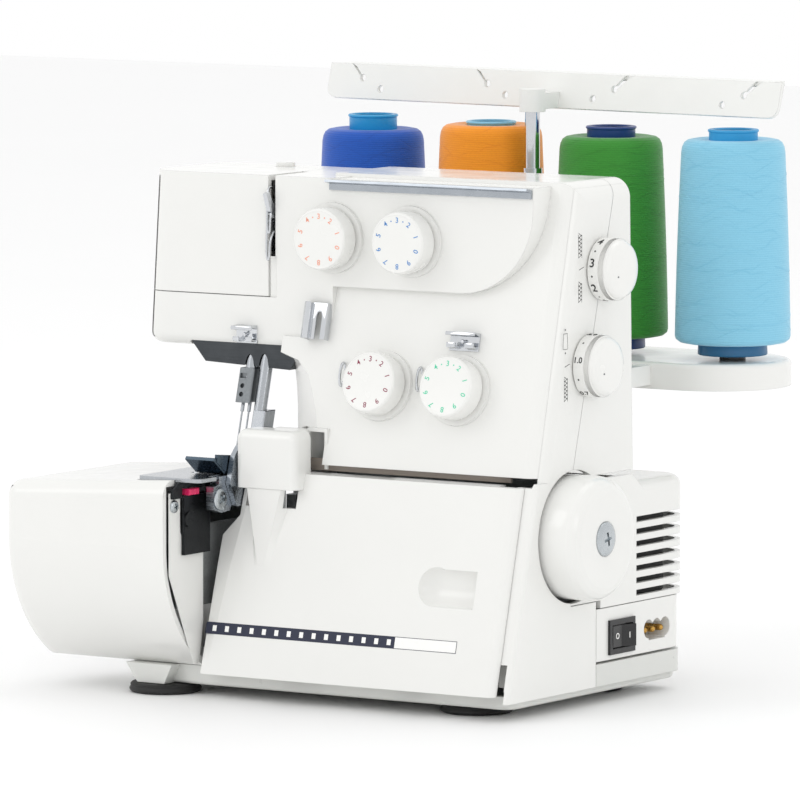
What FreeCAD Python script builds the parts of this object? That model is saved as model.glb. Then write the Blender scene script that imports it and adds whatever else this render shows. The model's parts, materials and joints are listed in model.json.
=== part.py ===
"""Serger (overlock sewing machine) with a rear stand for four thread cones.

Frame: X runs to the operator's right, Y away from the operator, Z up, in millimetres.
Every piece is built in a working frame whose Z = 0 is the table, then moved by SHIFT so that
the origin lies at the bottom centre of the whole machine. Each sub-part is one STEP file.
"""

import FreeCAD
import Part

import math
import os

V = FreeCAD.Vector
SHIFT = V(-2.55, -5.0, 0)          # working frame to part frame
GAP = 0.4                          # visible seam between two covers
WALL = 3.0                         # moulded cover thickness

# ---- driving dimensions, working frame -----------------------------------------------------
BED_LEFT, BED_RIGHT = -165.0, -63.0        # side cover, left and right ends
BED_FRONT, BED_BACK = -138.5, -30.0
BED_TOP, BED_DROP = 115.5, 5.0             # top height at the right end, and how much lower the left end is
BODY_LEFT, BODY_RIGHT = -18.0, 130.0       # upright column
ARM_LEFT, ARM_FLARE = -124.0, 5.5          # left end at the top, and how much further out it is below
THROAT_SIDE = (-38.0, -50.0)               # the column's hidden left corner behind the throat, (X, Y)
ARM_BOTTOM, BODY_TOP = 179.0, 272.0
ARM_FRONT = -62.0
FACE_FOOT, FACE_TOP = (-80.0, 120.0), (-44.0, 272.0)    # sloping front face, (Y, Z)
BACK_FOOT, BACK_TOP = (14.0, 16.0), (8.0, 272.0)        # rear face, (Y, Z)
SEAM_FOOT, SEAM_TOP = (-49.0, 118.0), (-6.0, 272.0)      # line where front and rear covers meet, (Y, Z)
PANEL_Y, PANEL_FOOT = -62.0, 214.0         # upright dial panel
PANEL_CURVE = (70.0, 259.0, 45.0)          # centre X, centre Z and radius of its curved corner
DRUM_Y, DRUM_Z, DRUM_R = -64.0, 116.0, 23.0   # round guard behind the loopers
PRESSURE_SCREW = (-77.0, -3.0)             # on top of the arm
COVER_TOP, COVER_FOOT = (-86.5, 118.0), (-113.4, 13.0)  # looper cover's outer face, (Y, Z)
COVER_LEFT, COVER_RIGHT = -57.3, 123.0
COVER_DEPTH = 12.0
SHAFT_Y, SHAFT_Z = -46.0, 90.0             # main shaft and handwheel axis
MOTOR_Y, MOTOR_Z = 38.0, 82.0
DRIVE_R, MOTOR_R = 20.0, 5.0               # belt pulleys, ratio 4 to 1
NEEDLE_X, PRESSER_X = -61.0, -52.0
KNIFE_X = -50.0                            # shearing plane of the two knives
BAR_TILT = math.radians(15.0)              # needle and presser bars lean forward at the bottom
BAR_Y, BAR_Z = -57.0, 176.0                # a point on both bars' plane
PLATE_TOP = 116.5                          # needle plate
STAND_Z = 170.0                            # top of the spool stand
HINGE_Y, HINGE_Z = -105.5, 19.0            # looper cover's hinge rod
SIDE_HINGE = (-159.0, -26.0)               # side cover's upright hinge, (X, Y)
TRAY_FOOT, TRAY_TOP = 5.4, 15.6
CONE_X0, CONE_PITCH, CONE_Y = 20.0, 75.6, 106.5
MAST_X, MAST_Y = 20.0, 88.0
GUIDE_TURN = 4.3                           # degrees by which the thread guide bar is turned on its mast
DIAL_R, DIAL_H = 16.3, 14.5
LOWER_PIVOT, UPPER_PIVOT = (-47.0, 44.0), (4.0, 66.0)   # loopers' studs, (X, Z)
TAKE_UP_PIVOT = (-22.0, 236.0)             # (Y, Z)
LIFTER_PIVOT = (2.0, 199.0)                # (Y, Z)
FOOT_R = 19.0


# ---- helpers ---------------------------------------------------------------------------------
def box(x0, x1, y0, y1, z0, z1):
    return Part.makeBox(x1 - x0, y1 - y0, z1 - z0, V(x0, y0, z0))


def rod(start, direction, radius, length):
    return Part.makeCylinder(radius, length, V(*start), V(*direction))


def prism(points, axis, low, high):
    """A closed outline extruded along axis: 'x' takes (Y, Z) points, 'y' (X, Z) and 'z' (X, Y)."""
    place = {"x": lambda p: V(low, p[0], p[1]),
             "y": lambda p: V(p[0], low, p[1]),
             "z": lambda p: V(p[0], p[1], low)}[axis]
    along = {"x": V(high - low, 0, 0), "y": V(0, high - low, 0), "z": V(0, 0, high - low)}[axis]
    corners = [place(p) for p in points]
    return Part.Face(Part.makePolygon(corners + corners[:1])).extrude(along)


def turned(profile, centre, axis):
    """A solid of revolution from (along, radius) points about an axis through centre."""
    start = V(*centre)
    along = V(*axis)
    side = V(0, 0, 1) if abs(along.z) < 0.9 else V(1, 0, 0)
    side = (side - along * side.dot(along)).normalize()
    points = [start + along * a + side * r for a, r in profile]
    return Part.Face(Part.makePolygon(points + points[:1])).revolve(start, along, 360)


def fuse(first, *others):
    return first.multiFuse(list(others)).removeSplitter()


def cut(shape, *tools):
    for tool in tools:
        shape = shape.cut(tool)
    return shape


def rounded(shape, radius, chosen):
    """Fillets every edge for which chosen(edge's centre, edge) is true."""
    edges = [e for e in shape.Edges if chosen(e.CenterOfMass, e)]
    return shape.makeFillet(radius, edges)


def runs(edge, axis):
    """True if a straight edge runs along the axis given as a number, 0 to 2."""
    a, b = edge.Vertexes[0].Point, edge.Vertexes[-1].Point
    d = b - a
    return d.Length > 1e-6 and abs(abs(d[axis]) / d.Length - 1) < 1e-4


def on_line(foot, top, z):
    """Y of the line from foot to top, both (Y, Z), at height z."""
    return foot[0] + (top[0] - foot[0]) * (z - foot[1]) / (top[1] - foot[1])


def face_y(z):
    return on_line(FACE_FOOT, FACE_TOP, z)


def seam_y(z):
    return on_line(SEAM_FOOT, SEAM_TOP, z)


def cover_y(z):
    return on_line(COVER_FOOT, COVER_TOP, z)


def back_y(z):
    return on_line(BACK_FOOT, BACK_TOP, z)


def bar_y(z):
    """Y of the needle and presser bars' plane at height z."""
    return BAR_Y + (z - BAR_Z) * math.tan(BAR_TILT)


def save(name, *solids):
    shape = solids[0] if len(solids) == 1 else Part.makeCompound(list(solids))
    shape = shape.copy()
    shape.translate(SHIFT)
    for solid in shape.Solids:
        if not solid.isValid() or solid.Volume <= 0:
            raise ValueError(name + " has a bad solid")
    if not shape.Solids:
        raise ValueError(name + " has no solid")
    shape.exportStep("parts/" + name + ".step")
    print(name, len(shape.Solids), round(shape.Volume))


# ---- upper covers ----------------------------------------------------------------------------
def upper_body(inset):
    """The column, arm and dial panel as one solid, drawn in by inset on every side."""
    i = inset
    low, top = FACE_FOOT[1] + (0 if not i else -1), BODY_TOP - i
    column = prism([(face_y(low) + i, low), (face_y(top) + i, top), (back_y(top) - i, top),
                    (back_y(low) - i, low)], "x", BODY_LEFT + i, BODY_RIGHT - i)
    if not inset:
        column = rounded(column, 10, lambda c, e: c.x > 129 and (c.z > 271 or c.y < -50 and c.z > 150))
    arm = prism([(ARM_LEFT - ARM_FLARE + i, ARM_BOTTOM + i), (BODY_LEFT + 10 - i, ARM_BOTTOM + i),
                 (BODY_LEFT + 10 - i, top - 1.5), (ARM_LEFT + i, top - 1.5)], "y", ARM_FRONT + i, back_y(top) - i)
    throat = prism([(face_y(low) + i, low), (face_y(ARM_BOTTOM + 8) + i, ARM_BOTTOM + 8),
                    (back_y(low) - i, ARM_BOTTOM + 8), (back_y(low) - i, low)], "x", THROAT_SIDE[0] + i, BODY_LEFT + 4)
    cx, cz, r = PANEL_CURVE
    panel_top = top - 2.0
    panel = fuse(box(-50, cx, PANEL_Y + i, -30, PANEL_FOOT + i, panel_top),
                 rod((cx, PANEL_Y + i, cz), (0, 1, 0), r - i, -30 - PANEL_Y - i),
                 box(cx, cx + r - i, PANEL_Y + i, -30, cz, panel_top))
    panel = panel.common(box(-50, cx + r, PANEL_Y, -30, PANEL_FOOT + i - 1, panel_top))
    if not inset:
        arm = rounded(arm, 14, lambda c, e: c.x < ARM_LEFT + 1 and c.y < -50 and 200 < c.z < 250)
        arm = rounded(arm, 6, lambda c, e: c.z < ARM_BOTTOM + 0.1 and (c.x < ARM_LEFT or c.y < ARM_FRONT + 0.1))
    return fuse(fuse(column, throat).cut(throat_sweep(i)), arm, panel)


def throat_sweep(inset):
    """What is cut away left of the column: the sweep from the arm's underside down its front left corner."""
    x, y = THROAT_SIDE
    corners = [(x, 100), (x, 150), (x - 1, 160), (x - 2.5, 168), (x - 8, 175), (x - 20, ARM_BOTTOM + 0.1)]
    slant = 1.15                                       # how far left it runs for each millimetre back
    edge = [V(a + inset * 1.53 + slant * 40, y - 40, z + inset) for a, z in corners]
    edge += [V(-260, y - 40, ARM_BOTTOM + inset + 0.1), V(-260, y - 40, 100)]
    return Part.Face(Part.makePolygon(edge + edge[:1])).extrude(V(-slant * 40, 40, 0))


def front_of_seam(shift):
    """Everything in front of the seam, moved back by shift."""
    low = (seam_y(100) + shift, 100)
    high = (seam_y(300) + shift, 300)
    return prism([(-200, 100), low, high, (-200, 300)], "x", -200, 200)


def dial_places():
    """(centre on the cover, outward direction) of the four thread tension dials."""
    upright = (0, -1, 0)
    lean = math.atan2(FACE_TOP[0] - FACE_FOOT[0], FACE_TOP[1] - FACE_FOOT[1])
    sloping = (0, -math.cos(lean), math.sin(lean))
    places = [((x, PANEL_Y, 239.5), upright) for x in (-7.5, 41.0)]
    places += [((x, face_y(164.5), 164.5), sloping) for x in (27.5, 75.0)]
    return places


def side_dial_places():
    """Centres of the stitch length and differential feed dials on the right side."""
    return [(BODY_RIGHT, seam_y(z), z) for z in (226.5, 177.5)]


def build_upper_covers():
    shell = cut(upper_body(0), upper_body(WALL))
    shell = cut(shell, box(-17, 126, -60, 30, 100, 130), box(-44, -20, -44, 8, 100, 130))
    shell = cut(shell, box(-99, -45, -60.5, -4, 170, 190))                     # over the sole plate
    for centre, out in dial_places():
        shell = cut(shell, rod(V(*centre) + V(*out) * 10, V(*out) * -1, 4.5, 30))
    for centre in side_dial_places():
        shell = cut(shell, rod((BODY_RIGHT - 8, centre[1], centre[2]), (1, 0, 0), 4.5, 12))
    shell = cut(shell, box(-48.5, -44.0, -70, -30, 228, 280),                  # take-up slot
                box(-48.5, -43.4, ARM_FRONT - 1, ARM_FRONT + 1.2, 206.6, 228))
    shell = cut(shell, rod(PRESSURE_SCREW + (262,), (0, 0, 1), 5.4, 20))
    shell = cut(shell, rod((-50, DRUM_Y, DRUM_Z), (1, 0, 0), 24.0, 40),        # looper drum's well
                box(-19, -3.5, -90, -62, 110, 139.2),
                rod((100, SHAFT_Y, SHAFT_Z), (1, 0, 0), 34.5, 40))             # handwheel's well
    shell = cut(shell, box(PRESSER_X - 5, PRESSER_X + 5, 0, 12, 186, 212))     # lifter slot
    face_zone = box(-200, -48.5, -100, 100, 207, 300).common(front_of_seam(0))
    front = cut(shell.common(front_of_seam(0)), box(-200, -48.5 + GAP, -100, 100, 207 - GAP, 300))
    front = front.cut(box(-30, BODY_RIGHT - WALL, -100, ARM_FRONT, 100, FACE_FOOT[1] + 2.5))   # shadow gap
    rear = shell.common(box(-200, 200, -100, 100, 0, 300).cut(front_of_seam(GAP)))
    rings = [rod(c, d, 18.5, 2.0).cut(rod(V(*c) - V(*d), d, 4.5, 6)) for c, d in dial_places()]
    front = fuse(front, *rings)
    well = cut(box(-14, -1.5, -77, -59.5, 120, 141.2), box(-20, -3.5, -90, -61.5, 110, 139.2))
    front = fuse(front, well, right_pillar())
    lower_rear = cut(prism([(-44, 16), (-44, 119), (back_y(119), 119), (back_y(16), 16)], "x", -45, 66),
                     prism([(-60, 10), (-60, 130), (back_y(119) - WALL, 130), (back_y(16) - WALL, 10)], "x",
                           -42, 70))
    rear = fuse(rear, lower_rear)
    save("front_cover", front)
    save("rear_cover", rear)
    save("face_cover", shell.common(face_zone))


def right_pillar():
    """The front cover's lower right wall, from the column down to the base."""
    outline = [(cover_y(9.5) + 4.5, 9.5), (cover_y(118) + 4.5, 118), (FACE_FOOT[0], 120), (seam_y(120), 120),
               (SEAM_FOOT[0], 118), (SEAM_FOOT[0], 54), (-24.4, 54), (-24.4, 9.5)]
    wall = prism(outline, "x", BODY_RIGHT - WALL, BODY_RIGHT)
    lip = prism([(cover_y(16) + 4.5, 16), (cover_y(118) + 4.5, 118), (cover_y(118) + 7.5, 118),
                 (cover_y(16) + 7.5, 16)], "x", BODY_RIGHT - 12, BODY_RIGHT - WALL)
    guard = box(BODY_RIGHT - 15, BODY_RIGHT - WALL + 0.5, HINGE_Y + 11, HINGE_Y + 13, 16, 34)
    pillar = fuse(wall, lip)
    pillar = rounded(pillar, 2.4, lambda c, e: c.x > 129.9 and c.z > 20 and c.z < 116
                     and abs(c.y - cover_y(c.z) - 4.5) < 0.2)
    pillar = cut(pillar, rod((110, SHAFT_Y, SHAFT_Z), (1, 0, 0), 34.5, 30),
                 rod((110, HINGE_Y, HINGE_Z), (1, 0, 0), 10.3, 16.6))          # room for the cover to drop
    return fuse(pillar, guard)


# ---- lower covers ----------------------------------------------------------------------------
def build_belt_cover():
    top, back = 113.0, 71.0
    step = prism([(11, 117.6), (17, top), (90, top), (90, 130), (11, 130)], "x", 0, 150)
    outer = box(30, BODY_RIGHT, -20, back, 50.3, 117.5).cut(step)
    outer = rounded(outer, 16, lambda c, e: runs(e, 2) and c.y > back - 1 and c.x > 100)
    outer = rounded(outer, 6, lambda c, e: abs(c.z - top) < 0.1 and (c.y > 45 or c.y > 18 and c.x > 120))
    inner = box(30 + WALL, BODY_RIGHT - WALL, -30, back - WALL, 40, top - WALL)
    inner = rounded(inner, 13, lambda c, e: runs(e, 2) and c.y > 60 and c.x > 100)
    side = box(BODY_RIGHT - WALL, BODY_RIGHT, SEAM_FOOT[0] + GAP, 10, 54.4, 117.5)
    shell = fuse(cut(outer, inner), side)
    shell = cut(shell, box(20, BODY_RIGHT - WALL, -40, back_y(50) + GAP, 40, 130))
    shell = cut(shell, rod((100, SHAFT_Y, SHAFT_Z), (1, 0, 0), 34.5, 40))
    for row in range(7):                                                       # louvres round the corner
        z = 93.2 - 6.4 * row
        shell = cut(shell, box(96, 140, 15.5, 80, z - 1.5, z + 1.5))
    save("belt_cover", shell)


def build_terminal_box():
    outer = box(96, BODY_RIGHT, -24.0, 66, 22.5, 49.9)
    outer = rounded(outer, 14, lambda c, e: runs(e, 2) and c.y > 65 and c.x > 129)
    hollow = box(99, BODY_RIGHT - WALL - 1, -21, 60, 25.5, 47)
    hollow = rounded(hollow, 8, lambda c, e: runs(e, 2) and c.y > 59 and c.x > 120)
    case = cut(outer, hollow)
    switch_hole = box(BODY_RIGHT - 5, BODY_RIGHT + 1, -11.1, 11.1, 24.9 + 1.5, 42.6 - 0.9)
    case = cut(case, switch_hole)
    socket = box(112, BODY_RIGHT, 22, 50.5, 25.5, 47)
    lobes = [rod((BODY_RIGHT - 15, 28.0 + 8 * n, 34.5), (1, 0, 0), 4.9, 20) for n in range(3)]
    oval = box(BODY_RIGHT - 15, BODY_RIGHT + 2, 28, 44, 28.6, 37)
    case = cut(fuse(case, socket), *lobes, oval)
    save("terminal_box", case)
    pins = [fuse(rod((BODY_RIGHT - 20, 28.0 + 8 * n, 33.6), (1, 0, 0), 1.7, 17),
                 Part.makeSphere(1.7, V(BODY_RIGHT - 3, 28.0 + 8 * n, 33.6))) for n in range(3)]
    block = box(BODY_RIGHT - 22, BODY_RIGHT - 18, 24, 48.5, 28, 44)
    pins = [p.cut(block) for p in pins]
    save("inlet_pins", *[p.common(box(BODY_RIGHT - 15, BODY_RIGHT, 0, 60, 0, 60)) for p in pins])


def build_switch():
    y0, y1, z0, z1 = -11.0, 11.0, 26.5, 41.6
    bezel = cut(fuse(box(BODY_RIGHT, BODY_RIGHT + 1.4, y0 - 1.5, y1 + 1.5, z0 - 1.5, z1 + 1.5),
                     box(BODY_RIGHT - 8, BODY_RIGHT, y0, y1, z0, z1)),
                box(BODY_RIGHT - 6, BODY_RIGHT + 3, y0 + 0.9, y1 - 0.9, z0 + 1.4, z1 - 1.4))
    bezel = bezel.cut(rod((BODY_RIGHT - 1, 0, z0 - 2), (0, 0, 1), 1.2, z1 - z0 + 4))
    save("switch_bezel", bezel)
    x = BODY_RIGHT
    rocker = prism([(x - 3.2, -8.6), (x + 1.0, -9.0), (x + 0.6, 0), (x + 4.4, 8.4), (x + 0.3, 9.0),
                    (x - 3.2, 3)], "z", z0 + 1.8, z1 - 1.8)
    axle = rod((x - 1, 0, z0 + 0.3), (0, 0, 1), 1.0, z1 - z0 - 0.6)
    save("power_rocker", fuse(rocker, axle))


def build_base():
    left, right, front, back = -112.0, BODY_RIGHT - WALL - 0.4, -101.0, 64.0
    plan = [(left, front), (right, front), (right, back), (left, back)]
    tray = prism(plan, "z", TRAY_FOOT, TRAY_TOP)
    tray = rounded(tray, 9, lambda c, e: runs(e, 2))
    tray = rounded(tray, 2.0, lambda c, e: c.z < TRAY_FOOT + 0.1)
    tray = cut(tray, box(left + 4, right - 4, front + 4, back - 4, TRAY_FOOT + 3, 20),
               box(-64, right + 1, front - 1, front + 6, 12.4, 20))
    skirt = prism([(-24, 9.5), (-24, 21.2), (66, 21.2), (66, 14), (60, 9.5)], "x", BODY_RIGHT - 34, BODY_RIGHT)
    skirt = rounded(skirt, 12, lambda c, e: c.x > 129 and c.y > 65 and runs(e, 2))
    skirt = cut(skirt, box(90, BODY_RIGHT - WALL, -24 + WALL, 60, 0, 19.2))
    bracket = prism([(-107, 15.6), (-78, 15.6), (-83, TRAY_FOOT), (-100, TRAY_FOOT)], "y", -109, -84)
    sockets = [rod((x, y, TRAY_FOOT), (0, 0, 1), 9.0, 5.4) for x, y in foot_places()]
    lugs = []
    for x in (0, 70):                                                          # looper cover's hinge lugs
        lugs += [rod((x, HINGE_Y, HINGE_Z), (1, 0, 0), 2.8, 6),
                 box(x, x + 6, HINGE_Y, -97.0, HINGE_Z - 2.4, HINGE_Z + 2.4),
                 box(x, x + 6, -100.6, -96.0, TRAY_FOOT + 3, HINGE_Z + 2.4)]
    tray = fuse(tray, skirt, bracket, *sockets, *lugs)
    tray = cut(tray, *[rod((x, y, 0), (0, 0, 1), 5.0, 9.8) for x, y in foot_places()],
               rod((-10, HINGE_Y, HINGE_Z), (1, 0, 0), 1.55, 100))
    save("base_tray", tray)
    save("rubber_feet", *[rubber_foot(x, y) for x, y in foot_places()])


def foot_places():
    return [(90.0, -76.0), (-91.0, -96.0), (90.0, 32.0), (-91.0, 32.0)]


def rubber_foot(x, y):
    profile = [(0, 0), (0, FOOT_R - 1.2), (1.2, FOOT_R), (2.6, FOOT_R - 0.4), (TRAY_FOOT, 11), (TRAY_FOOT, 4.9),
               (9.5, 4.9), (9.5, 0)]
    return turned(profile, (x, y, 0), (0, 0, 1))


# ---- side cover, looper cover ----------------------------------------------------------------
def bed_profile(inset):
    """Side cover's outline in (Y, Z) as a face: an upright front that sweeps back in an arc below."""
    i = inset
    top, front, back, foot = BED_TOP - i, BED_FRONT + i, BED_BACK, 16.0 + i
    start = V(0, front, 80)
    end = V(0, front + 36 - i * 0.3, foot)
    middle = V(0, front + 8.6, 46)
    edges = [Part.LineSegment(V(0, back, top), V(0, front, top)), Part.LineSegment(V(0, front, top), start),
             Part.Arc(start, middle, end), Part.LineSegment(end, V(0, -62, foot)),
             Part.LineSegment(V(0, -62, foot), V(0, back, 46)), Part.LineSegment(V(0, back, 46), V(0, back, top))]
    wire = Part.Wire([e.toShape() for e in edges])
    return Part.Face(wire)


def build_side_cover():
    length = BED_RIGHT - BED_LEFT
    outer = bed_profile(0).extrude(V(length, 0, 0))
    outer.translate(V(BED_LEFT, 0, 0))
    slope = prism([(BED_LEFT - 1, BED_TOP - BED_DROP), (BED_RIGHT, BED_TOP), (BED_RIGHT, 140), (BED_LEFT - 1, 140)],
                  "y", -160, 0)
    outer = outer.cut(slope)
    outer = rounded(outer, 9, lambda c, e: c.x < -100 and c.y < BED_FRONT + 0.5 and c.z > 108)
    outer = rounded(outer, 8, lambda c, e: c.x < BED_LEFT + 0.5 and c.y < -63 and c.z < 112)
    inner = bed_profile(WALL).extrude(V(length, 0, 0))
    inner.translate(V(BED_LEFT + WALL, 0, 0))
    slope = prism([(BED_LEFT - 1, BED_TOP - BED_DROP - WALL), (BED_RIGHT + WALL, BED_TOP - WALL),
                   (BED_RIGHT + WALL, 140), (BED_LEFT - 1, 140)], "y", -160, 0)
    inner = inner.cut(slope)
    cover = cut(outer, inner, box(-87, BED_RIGHT + 1, -128, 0, 100, 130),
                box(BED_LEFT + 9, BED_RIGHT + 1, BED_BACK - 12, 0, 40, 108))
    hx, hy = SIDE_HINGE
    bosses = [rod((hx, hy, z), (0, 0, 1), 4.0, 12) for z in (55, 88)]
    links = [box(hx - 4, hx + 2, BED_BACK - 2, hy, z, z + 12) for z in (55, 88)]
    cover = fuse(cover, *bosses, *links)
    cover = cover.cut(rod((hx, hy, 50), (0, 0, 1), 1.55, 60))
    save("side_cover", cover)


def cover_section(z, ridge, inset):
    """Looper cover's plan outline at height z. ridge is (left X, right X, how far proud)."""
    y = cover_y(z)
    left, right, proud = ridge
    i = inset
    back = y + COVER_DEPTH + (1 if i else 0)
    bevel = max(0.02, (z - 30) / 80)                       # left margin falls away towards the top
    points = [(COVER_LEFT + i, back), (COVER_LEFT + i, y + 5 * bevel + i), (COVER_LEFT + 3 + 13 * bevel + i, y + i),
              (left + i * 0.5, y + i), (left + 2 + i * 0.5, y - proud + i), (right - i * 0.5, y - proud + i),
              (right + 3 - i * 0.5, y + i), (COVER_RIGHT - i, y + i), (COVER_RIGHT - i, back)]
    corners = [V(px, py, z) for px, py in points]
    return Part.makePolygon(corners + corners[:1])


def build_looper_cover():
    def body(inset):
        ends = [(13 + inset, (-33, -27, 0.02)), (70, (-33, -27, 0.02)), (118 - inset, (-43, -16, 9.0))]
        parts = [Part.makeLoft([cover_section(z, ridge, inset) for z, ridge in pair], True, True)
                 for pair in (ends[:2], ends[1:])]
        return fuse(*parts)
    outer, inner = body(0), body(WALL)
    outer = rounded(outer, 5.0, lambda c, e: c.x > 122.9 and c.y < cover_y(c.z) + 1 and 14 < c.z < 117)
    corner = prism([(-75, 84), (COVER_LEFT, 84), (-46.5, 95), (-46.5, 150), (-75, 150)], "y", -140, -60)
    guard = box(-46.5, -9.0, cover_y(112) - 8.5, -81.5, 110, 140.5)
    guard = rounded(guard, 5.0, lambda c, e: c.z > 140 and not (c.y > -82))
    guard = rounded(guard, 4.0, lambda c, e: runs(e, 2) and c.y < -95)
    room = box(-43.5, -12.0, cover_y(112) - 5.5, -70, 100, 137.5)
    recess_block = prism([(cover_y(52) + 1, 52), (cover_y(80) + 1, 80), (cover_y(80) + 10, 80),
                          (cover_y(52) + 10, 52)], "x", 66, 106)
    cover = cut(fuse(cut(outer, corner, inner), recess_block), thumb_recess())
    cover = cut(fuse(cover, guard), room)
    right_end = [(cover_y(z) + 4.2, z) for z in (0, 130)] + [(0, 130), (0, 0)]
    slots = [box(x - 12.5, x + 7.5, -110, -90, 10, 17.5) for x in (0, 70)]
    cover = cut(cover, prism(right_end, "x", 106.5, 140), *slots)
    knuckles = [rod((x, HINGE_Y, HINGE_Z), (1, 0, 0), 3.6, 12) for x in (-40, 30, 90)]
    webs = [box(x, x + 12, HINGE_Y - 4, HINGE_Y, 14.2, HINGE_Z + 2) for x in (-40, 30, 90)]
    cover = fuse(cover, *knuckles, *webs)
    cover = cut(cover, rod((-70, HINGE_Y, HINGE_Z), (1, 0, 0), 1.55, 175))
    save("looper_cover", cover)


def thumb_recess():
    """D-shaped thumb recess, deepest at its round left end."""
    z = 67.0
    y = cover_y(z)
    dome = Part.makeSphere(11.0, V(80, y - 4.0, z))
    run = rod((80, y - 4.0, z), (1, 0, 0.0), 11.0, 24)
    return fuse(dome, run.common(box(80, 104, y - 20, y + 20, z - 11, z + 8)))


# ---- thread stand ----------------------------------------------------------------------------
def cone_places():
    return [(CONE_X0 + CONE_PITCH * (n - 1.5), CONE_Y) for n in range(4)]


def build_stand():
    x0, x1, y0, y1 = -121.0, 161.0, 68.5, 148.5
    plate = box(x0, x1, y0, y1, STAND_Z - 14.0, STAND_Z)
    plate = rounded(plate, 38, lambda c, e: runs(e, 2))
    plate = rounded(plate, 3.0, lambda c, e: c.z > STAND_Z - 0.1)
    hollow = box(x0 + 3, x1 - 3, y0 + 3, y1 - 3, STAND_Z - 20, STAND_Z - 3)
    hollow = rounded(hollow, 35, lambda c, e: runs(e, 2))
    plate = cut(plate, hollow)
    posts = [rod((x, y, STAND_Z - 14), (0, 0, 1), 6, 12) for x, y in cone_places()]
    post = rod((MAST_X, MAST_Y, STAND_Z - 14), (0, 0, 1), 9, 12)
    low, high = STAND_Z - 12, STAND_Z - 1.5
    arms = [prism([(back_y(low), low), (back_y(high), high), (y0 + 5, high), (y0 + 5, low)], "x", x - 11, x + 11)
            for x in (0, 95)]
    plate = fuse(plate, *posts, post, *arms)
    holes = [rod((x, y, STAND_Z - 10), (0, 0, 1), 2.5, 20) for x, y in cone_places()]
    plate = cut(plate, *holes, rod((MAST_X, MAST_Y, STAND_Z - 12), (0, 0, 1), 5.3, 20))
    save("spool_stand", plate)
    save("spool_pins", *[turned([(0, 0), (0, 2.5), (10.0, 2.5), (10.0, 7), (12.0, 7), (12.0, 2.5), (70, 2.5),
                                 (73, 1.2), (73, 0)], (x, y, STAND_Z - 10), (0, 0, 1)) for x, y in cone_places()])
    tube = cut(rod((MAST_X, MAST_Y, STAND_Z - 12), (0, 0, 1), 5.3, 12 + 98),
               rod((MAST_X, MAST_Y, STAND_Z - 10), (0, 0, 1), 4.05, 140))
    save("mast_tube", tube)
    save("mast_rod", rod((MAST_X, MAST_Y, STAND_Z - 8), (0, 0, 1), 4.0, 145))
    save("thread_guide_bar", guide_bar())


def guide_bar():
    """Flat bar leaning back, with an open slot and two eyelets for each thread."""
    low, high, half, lean = 299.5, 318.0, 149.0, 5.0
    y = MAST_Y + 13
    plate = box(MAST_X - half, MAST_X + half, y, y + 2.2, low, low + math.hypot(lean, high - low))
    plate = rounded(plate, 6, lambda c, e: runs(e, 1) and c.z < low + 1)
    plate.rotate(V(0, y, low), V(1, 0, 0), -math.degrees(math.atan2(lean, high - low)))
    shelf = box(MAST_X - half + 5, MAST_X + half - 5, y + lean, y + lean + 14, high - 2.2, high)
    shelf = rounded(shelf, 6, lambda c, e: runs(e, 2) and c.y > y + lean + 13)
    hub = rod((MAST_X, MAST_Y, low - 1.5), (0, 0, 1), 7.0, 12)
    bridge = box(MAST_X - 7, MAST_X + 7, MAST_Y, y + 2.0, low, high - 10)
    bar = fuse(plate, shelf, hub, bridge)
    bar = cut(bar, rod((MAST_X, MAST_Y, low - 5), (0, 0, 1), 4.05, 12.6))
    for n in range(4):
        side = -1 if n < 2 else 1
        x = MAST_X + 84.0 * (n - 1.5)
        for hole_x, hole_z in ((x, 310.5), (x - side * 13.0, 305.0)):
            bar = cut(bar, rod((hole_x, y - 10, hole_z), (0, 1, 0), 1.9, 30))
        run = prism([(x - 0.9, 310.5), (x + 0.9, 310.0), (x + side * 7 + 1.5, 316.5), (x + side * 14 + 1, 320),
                     (x + side * 14 - 1.6, 321), (x + side * 7 - 1.2, 317.5)], "y", y - 10, y + lean + 1.5)
        bar = cut(bar, run)
    bar.rotate(V(MAST_X, MAST_Y, 0), V(0, 0, 1), -GUIDE_TURN)
    return bar


def build_cones():
    """Four cones of thread: a plastic core in each, wound with yarn."""
    foot = STAND_Z + 2.3
    tops = [(105.5, 7.5), (110.5, 1.5), (107.0, 5.0), (108.0, 5.0)]            # yarn's height, core above it
    for n, (x, y) in enumerate(cone_places()):
        yarn_top, core_out = foot + 6.5 + tops[n][0], tops[n][1]
        lower, upper = 31.0, 27.5
        core_r, core_top_r = 17.5, 13.5
        yarn_foot = foot + 6.5
        height = yarn_top - yarn_foot
        share = height / (yarn_top + core_out - foot)
        core = turned([(0, 3.2), (0, core_r + 0.4), (5.0, core_r), (yarn_top + core_out - foot, core_top_r),
                       (yarn_top + core_out - foot, 11.0), (5.0, 13.0), (4.0, 3.2)], (x, y, foot), (0, 0, 1))
        top_r = core_r + (core_top_r - core_r) * share
        yarn = turned([(0, core_r + 0.2), (0, lower - 2.0), (2.0, lower), (height - 4.0, upper),
                       (height, upper - 4.0), (height, top_r + 0.2)], (x, y, yarn_foot), (0, 0, 1))
        save("thread_cone_%d" % (n + 1), core, yarn)


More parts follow.
